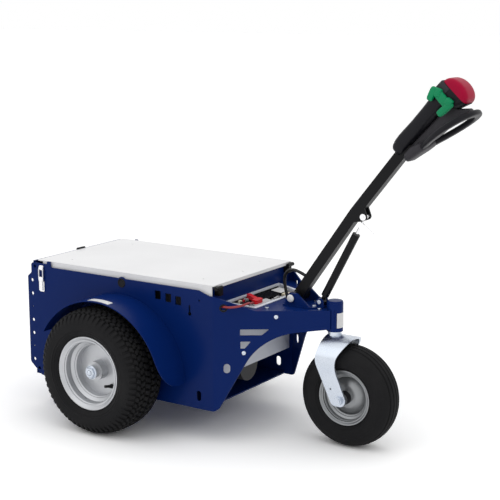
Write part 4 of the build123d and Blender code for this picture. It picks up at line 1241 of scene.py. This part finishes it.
@dataclass
class Head:
    """Handle head: closed grip loop, keel, pod with stop button and throttle wings.

    Places are (along the head, to the left, up from it) in millimetres.
    """

    start: Point = (870.0, 0.0, 901.0)
    rise: float = 46.6
    loop_tilt: float = 12.0
    loop_start: tuple[float, float] = (20.0, -24.0)
    loop_ends: tuple[float, float] = (34.0, 224.0)
    loop_half: float = 74.0
    bar: tuple[float, float] = (12.5, 8.5)
    # along, half width, bottom, top
    pod_rows: tuple[tuple[float, ...], ...] = (
        (-9, 0, 12, 18), (-8, 12, 5, 25), (-4, 21, -1, 31), (4, 27, -3, 36), (20, 31, -3, 40),
        (42, 33, -3, 42), (95, 34, -3, 42), (150, 35, -3, 45), (190, 35, -3, 49),
        (206, 35, -5, 50), (218, 35, -32, 50), (247.6, 34, -43, 47), (247.7, 34, -43, 47), (247.8, 0, 0, 4))
    keel_rows: tuple[tuple[float, ...], ...] = (
        (14, 0, -22, -14), (16, 14, -26, -5), (50, 14, -30, -4), (84, 14, -37, -4), (112, 14, -43, -4),
        (140, 14, -46, -4), (180, 14, -48, -4), (206, 14, -50, -5), (218, 14, -54, -32), (230, 14, -66, -43),
        (240, 13, -68, -52), (242, 0, -62, -60))
    # along the loop, half width, bottom, top, from the loop's middle
    neck_rows: tuple[tuple[float, ...], ...] = (
        (-18, 0, -2, 2), (-17, 20, -10, 10), (-8, 29, -13, 15), (20, 33, -13, 21), (44, 36, -13, 17),
        (66, 30, -12, 10), (76, 14, -8, 4), (80, 0, -2, 0))
    # stop button: start and middle height, then reach along, half width and half height
    button_seat: tuple[float, float] = (248.0, 5.0)
    button_half: Point = (30.0, 36.0, 45.0)
    button_power: float = 0.34
    # middle and half sizes
    end_block: tuple[Point, Point] = ((229.5, 0.0, 36.0), (17.6, 36.4, 17.5))
    # along, up, half length, half width, half height, turn in degrees
    wing_rows: tuple[tuple[float, ...], ...] = (
        (202, 45, 21, 8.0, 9.5, 20.0), (214, 17, 13.0, 6.0, 33, -3.0), (200, -12, 27, 8.0, 10.5, -6.0),
        (217, 34, 13, 8.5, 10, 24.0), (221, -6, 11, 9.0, 12, 10.0))
    wing_left: float = 41.0
    # along, up of the keel's screws
    keel_screws: tuple[tuple[float, float], ...] = ((66.0, -26.0), (122.0, -36.0))

    def axes(self, tilt: float = 0.0) -> Array:
        """Directions along the head, to the left and up as rows, dipping by a tilt in degrees."""
        return raised(self.rise - tilt)

    def at(self, spots: Array) -> Array:
        """Places on the head in the frame, from along, left and up in the last axis."""
        return place(*self.start) + np.asarray(spots, float) @ self.axes() * MM

    def on_loop(self, spots: Array) -> Array:
        """Places in the frame from along the loop, left and up from its middle in the last axis."""
        root = self.at([self.loop_start[0], 0.0, self.loop_start[1]])
        return root + np.asarray(spots, float) @ self.axes(self.loop_tilt) * MM

    @staticmethod
    def loft(rows: Sequence[Sequence[float]], power: float, window: int = 7) -> Shape:
        """Body through stations, each a squarish oval between a bottom and a top.

        Args:
            rows: Along, half width, bottom and top.
            power: Exponent of the ovals.
            window: Rounding of the table's corners.

        Returns:
            Points in the head's own axes, and quads.
        """
        table = stations(rows, 160, window)
        ring = oval(1.0, 1.0, power, 56)
        left = table[:, 1, None] * ring[None, :, 0]
        middle, reach = (table[:, 2] + table[:, 3]) / 2, (table[:, 3] - table[:, 2]) / 2
        up = middle[:, None] + reach[:, None] * ring[None, :, 1]
        along = np.broadcast_to(table[:, :1], left.shape)
        points = np.stack([along, left, up], axis=-1).reshape(-1, 3)
        return points, grid_faces(len(table), len(ring), False, True)

    def put(self, name: str, shape: Shape, finish: Finish, node: str) -> None:
        """Piece drawn in the head's own axes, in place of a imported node."""
        points, faces = shape
        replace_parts(put_piece(name, (self.at(points), faces), finish, Body.TILLER), node)

    def build(self) -> None:
        """Make the loop with its neck, the keel, the pod, the button and the throttle wings."""
        turn = np.linspace(0, 2 * np.pi, 160, endpoint=False)
        first, last = self.loop_ends
        swell = np.sin(turn) * np.abs(np.sin(turn / 2)) ** 0.9
        along = first + (last - first) * (1 - np.cos(turn)) / 2
        path = np.stack([along, self.loop_half * swell / swell.max(), 0 * turn], axis=-1)
        section = oval(*(np.array(self.bar) * MM), 0.62, 28)
        loop = sweep(self.on_loop(path), self.axes(self.loop_tilt)[2], section, 1.0, True)
        neck = self.loft(self.neck_rows, 0.55)
        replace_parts(put_piece("grip", loop, DARK, Body.TILLER), "grip_loop")
        put_piece("neck", (self.on_loop(neck[0]), neck[1]), SLATE, Body.TILLER)
        self.put("pod", self.loft(self.pod_rows, 0.62, 5), DARK, "head_console")
        self.put("keel", self.loft(self.keel_rows, 0.3, 5), SLATE, "head_cover")
        middle, half = self.end_block
        points, faces = block(half, 0.16, 16, 40)
        self.put("end_block", (points + middle, faces), SLATE, "console_block")
        self.stop_button()
        self.throttle()
        self.screws()

    def stop_button(self) -> None:
        """Half-round stop button: an ellipse seen from the side, flat where it meets the pod."""
        rise = np.linspace(-np.pi / 2, np.pi / 2, 28)[:, None]
        turn = np.linspace(0, 2 * np.pi, 72, endpoint=False)[None, :]
        girth = eased(np.cos(rise), self.button_power)
        reach, width, height = self.button_half
        seat, level = self.button_seat
        along = seat + np.maximum(reach * girth * np.cos(turn), 0.0)
        left = np.broadcast_to(width * eased(np.sin(rise), self.button_power), along.shape)
        up = level + height * girth * np.sin(turn)
        points = np.stack([along, left, up], axis=-1).reshape(-1, 3)
        shape = (points, grid_faces(len(rise), turn.size, False, True))
        self.put("button", shape, RED, "stop_button")

    def throttle(self) -> None:
        """Throttle wings on both sides, each of rounded lobes on an upright arm."""
        parts = []
        for side in Side:
            for along, up, length, width, height, angle in self.wing_rows:
                points, faces = block((length, width, height), 0.5, 18, 36)
                parts.append((points @ raised(angle) + [along, side.value * self.wing_left, up], faces))
        self.put("throttle", joined(parts), GREEN, "throttle_paddles")

    def screws(self) -> None:
        """Screws in the keel's flanks and the nub on the pod's back."""
        seats = [(self.at([along, side.value * 13.9, up]), (0, side.value, 0)) for side in Side
                 for along, up in self.keel_screws]
        screw = lathe(screw_head(3.6 * MM, 1.4 * MM, 1.6 * MM), 16, False)
        fasteners("keel_screws", screw, seats, DARK, Body.TILLER)
        points, faces = block((6.0, 8.0, 3.0), 0.5)
        nub = (self.at(points + [52.0, 0.0, 42.0]), faces)
        put_piece("pod_nub", nub, DARK, Body.TILLER)


@dataclass
class Tiller(Assembly):
    """Pole with its gas spring and the handle head."""

    finishes = {"tiller_pole": BLACK, "gas_cylinder": BLACK, "gas_rod": STEEL, "release_lever": STEEL}
    # x and z of the pivot bolt, radius and height of its cap
    pivot: tuple[float, float] = (530.0, 443.0)
    pivot_cap: tuple[float, float] = (12.0, 5.0)

    def build(self) -> None:
        """Make the handle head and the domed cap of the pivot bolt."""
        Head().build()
        centre, half = node_box("pivot_pins")
        seat = place(self.pivot[0], 0.0, self.pivot[1])
        seat[1] = centre[1] - half[1]
        cap = lathe(dome(*(size * MM for size in self.pivot_cap)), 32, False)
        fasteners("pivot_cap", cap, [(seat, (0, -1, 0))], BLANK, Body.CHASSIS)


@dataclass
class Studio:
    """Pale floor, soft lamps, white surroundings and the camera."""

    azimuth: float = 33.42
    elevation: float = 11.33
    distance: float = 3.91203
    target: Point = (349.22, 0.0, 564.22)
    lens: float = 90.06
    floor_half: float = 40.0
    # light from the horizon, and what is added towards the zenith
    ambient: float = 0.36
    zenith: float = 0.70
    floor_colour: Colour = (0.78, 0.78, 0.79)
    # name, place, size, power
    lamp_rows: tuple[tuple[str, Point, float, float], ...] = (
        ("lamp_above", (-0.2, -0.3, 3.6), 4.6, 14.0), ("lamp_front", (-1.9, -3.9, 2.7), 4.6, 28.0),
        ("lamp_nose", (4.2, -1.7, 2.3), 4.2, 18.0))

    def build(self) -> None:
        """Make everything that is not the machine."""
        self.floor()
        self.lamps()
        self.world()
        self.camera()

    @staticmethod
    def seen(tree: Tree) -> Wire:
        """1 for rays from the camera, and for those that it sees in gloss or through glass."""
        path = tree.node("ShaderNodeLightPath", {}, {})
        names = ("Is Camera Ray", "Is Glossy Ray", "Is Transmission Ray")
        camera, glossy, through = (Wire(tree, path.outputs[name]) for name in names)
        return (camera + glossy + through).clamped()

    def floor(self) -> None:
        """Pale floor that looks as white as the surroundings where nothing shades it."""
        reach = self.floor_half
        mesh = bpy.data.meshes.new("floor")
        mesh.from_pydata([(-reach, -reach, 0), (reach, -reach, 0), (reach, reach, 0), (-reach, reach, 0)], [],
                         [(0, 1, 2, 3)])
        made = bpy.data.materials.new("pale_floor")
        made.use_nodes = True
        tree = Tree(made.node_tree)
        plain = tree.wire("ShaderNodeBsdfDiffuse", {}, {"Color": (*self.floor_colour, 1.0)})
        white = [1.02 / (self.ambient + self.zenith * 2 / 3)] * 3
        bright = tree.wire("ShaderNodeBsdfDiffuse", {}, {"Color": (*white, 1.0)})
        mixed = tree.wire("ShaderNodeMixShader", {}, {0: self.seen(tree), 1: plain, 2: bright})
        tree.node("ShaderNodeOutputMaterial", {}, {"Surface": mixed})
        mesh.materials.append(made)
        piece = bpy.data.objects.new("floor", mesh)
        bpy.context.scene.collection.objects.link(piece)

    def lamps(self) -> None:
        """Large soft lamps: one above, one from the rear right and one from the nose."""
        for name, spot, size, power in self.lamp_rows:
            lamp = bpy.data.lights.new(name, "AREA")
            lamp.shape = "DISK"
            lamp.size = size
            lamp.energy = power
            piece = bpy.data.objects.new(name, lamp)
            aim = facing(spot, np.array(spot) - np.array([0.0, 0.0, 0.35]))
            piece.matrix_world = aim.T.tolist()
            bpy.context.scene.collection.objects.link(piece)

    def world(self) -> None:
        """White to the camera and in reflections, dimmer as light on the machine."""
        world = bpy.data.worlds.new("studio")
        bpy.context.scene.world = world
        world.use_nodes = True
        tree = Tree(world.node_tree)
        spot = tree.node("ShaderNodeTexCoord", {}, {})
        parts = tree.node("ShaderNodeSeparateXYZ", {}, {"Vector": Wire(tree, spot.outputs["Generated"])})
        light = self.ambient + self.zenith * Wire(tree, parts.outputs["Z"]).clamped()
        seen = self.seen(tree)
        strength = seen + (1.0 - seen) * light
        sky = tree.wire("ShaderNodeBackground", {}, {"Color": (1.0, 1.0, 1.0, 1.0), "Strength": strength})
        tree.node("ShaderNodeOutputWorld", {}, {"Surface": sky})

    def camera(self) -> None:
        """Camera at the photograph's angle, aimed at a point in the middle of the machine."""
        turn, rise = math.radians(self.azimuth), math.radians(self.elevation)
        back = np.array([math.sin(turn) * math.cos(rise), -math.cos(turn) * math.cos(rise), math.sin(rise)])
        matrix = facing(place(*self.target) + self.distance * back, back)
        data = bpy.data.cameras.new("camera")
        data.lens = self.lens
        data.sensor_width = 36.0
        camera = bpy.data.objects.new("camera", data)
        camera.matrix_world = matrix.T.tolist()
        bpy.context.scene.collection.objects.link(camera)
        bpy.context.scene.camera = camera


def main() -> None:
    """Build and dress every sub-assembly, then the studio."""
    logging.basicConfig(level=logging.INFO, format="%(message)s")
    bpy.context.scene.view_settings.view_transform = "Standard"
    assemblies: tuple[Assembly, ...] = (Chassis(), DriveWheel(Side.RIGHT), DriveWheel(Side.LEFT), Castor(),
                                        Lid(), ControllerBay(), Tiller())
    for assembly in assemblies:
        assembly.build()
        assembly.dress()
    Studio().build()


if __name__ == "__main__":
    main()
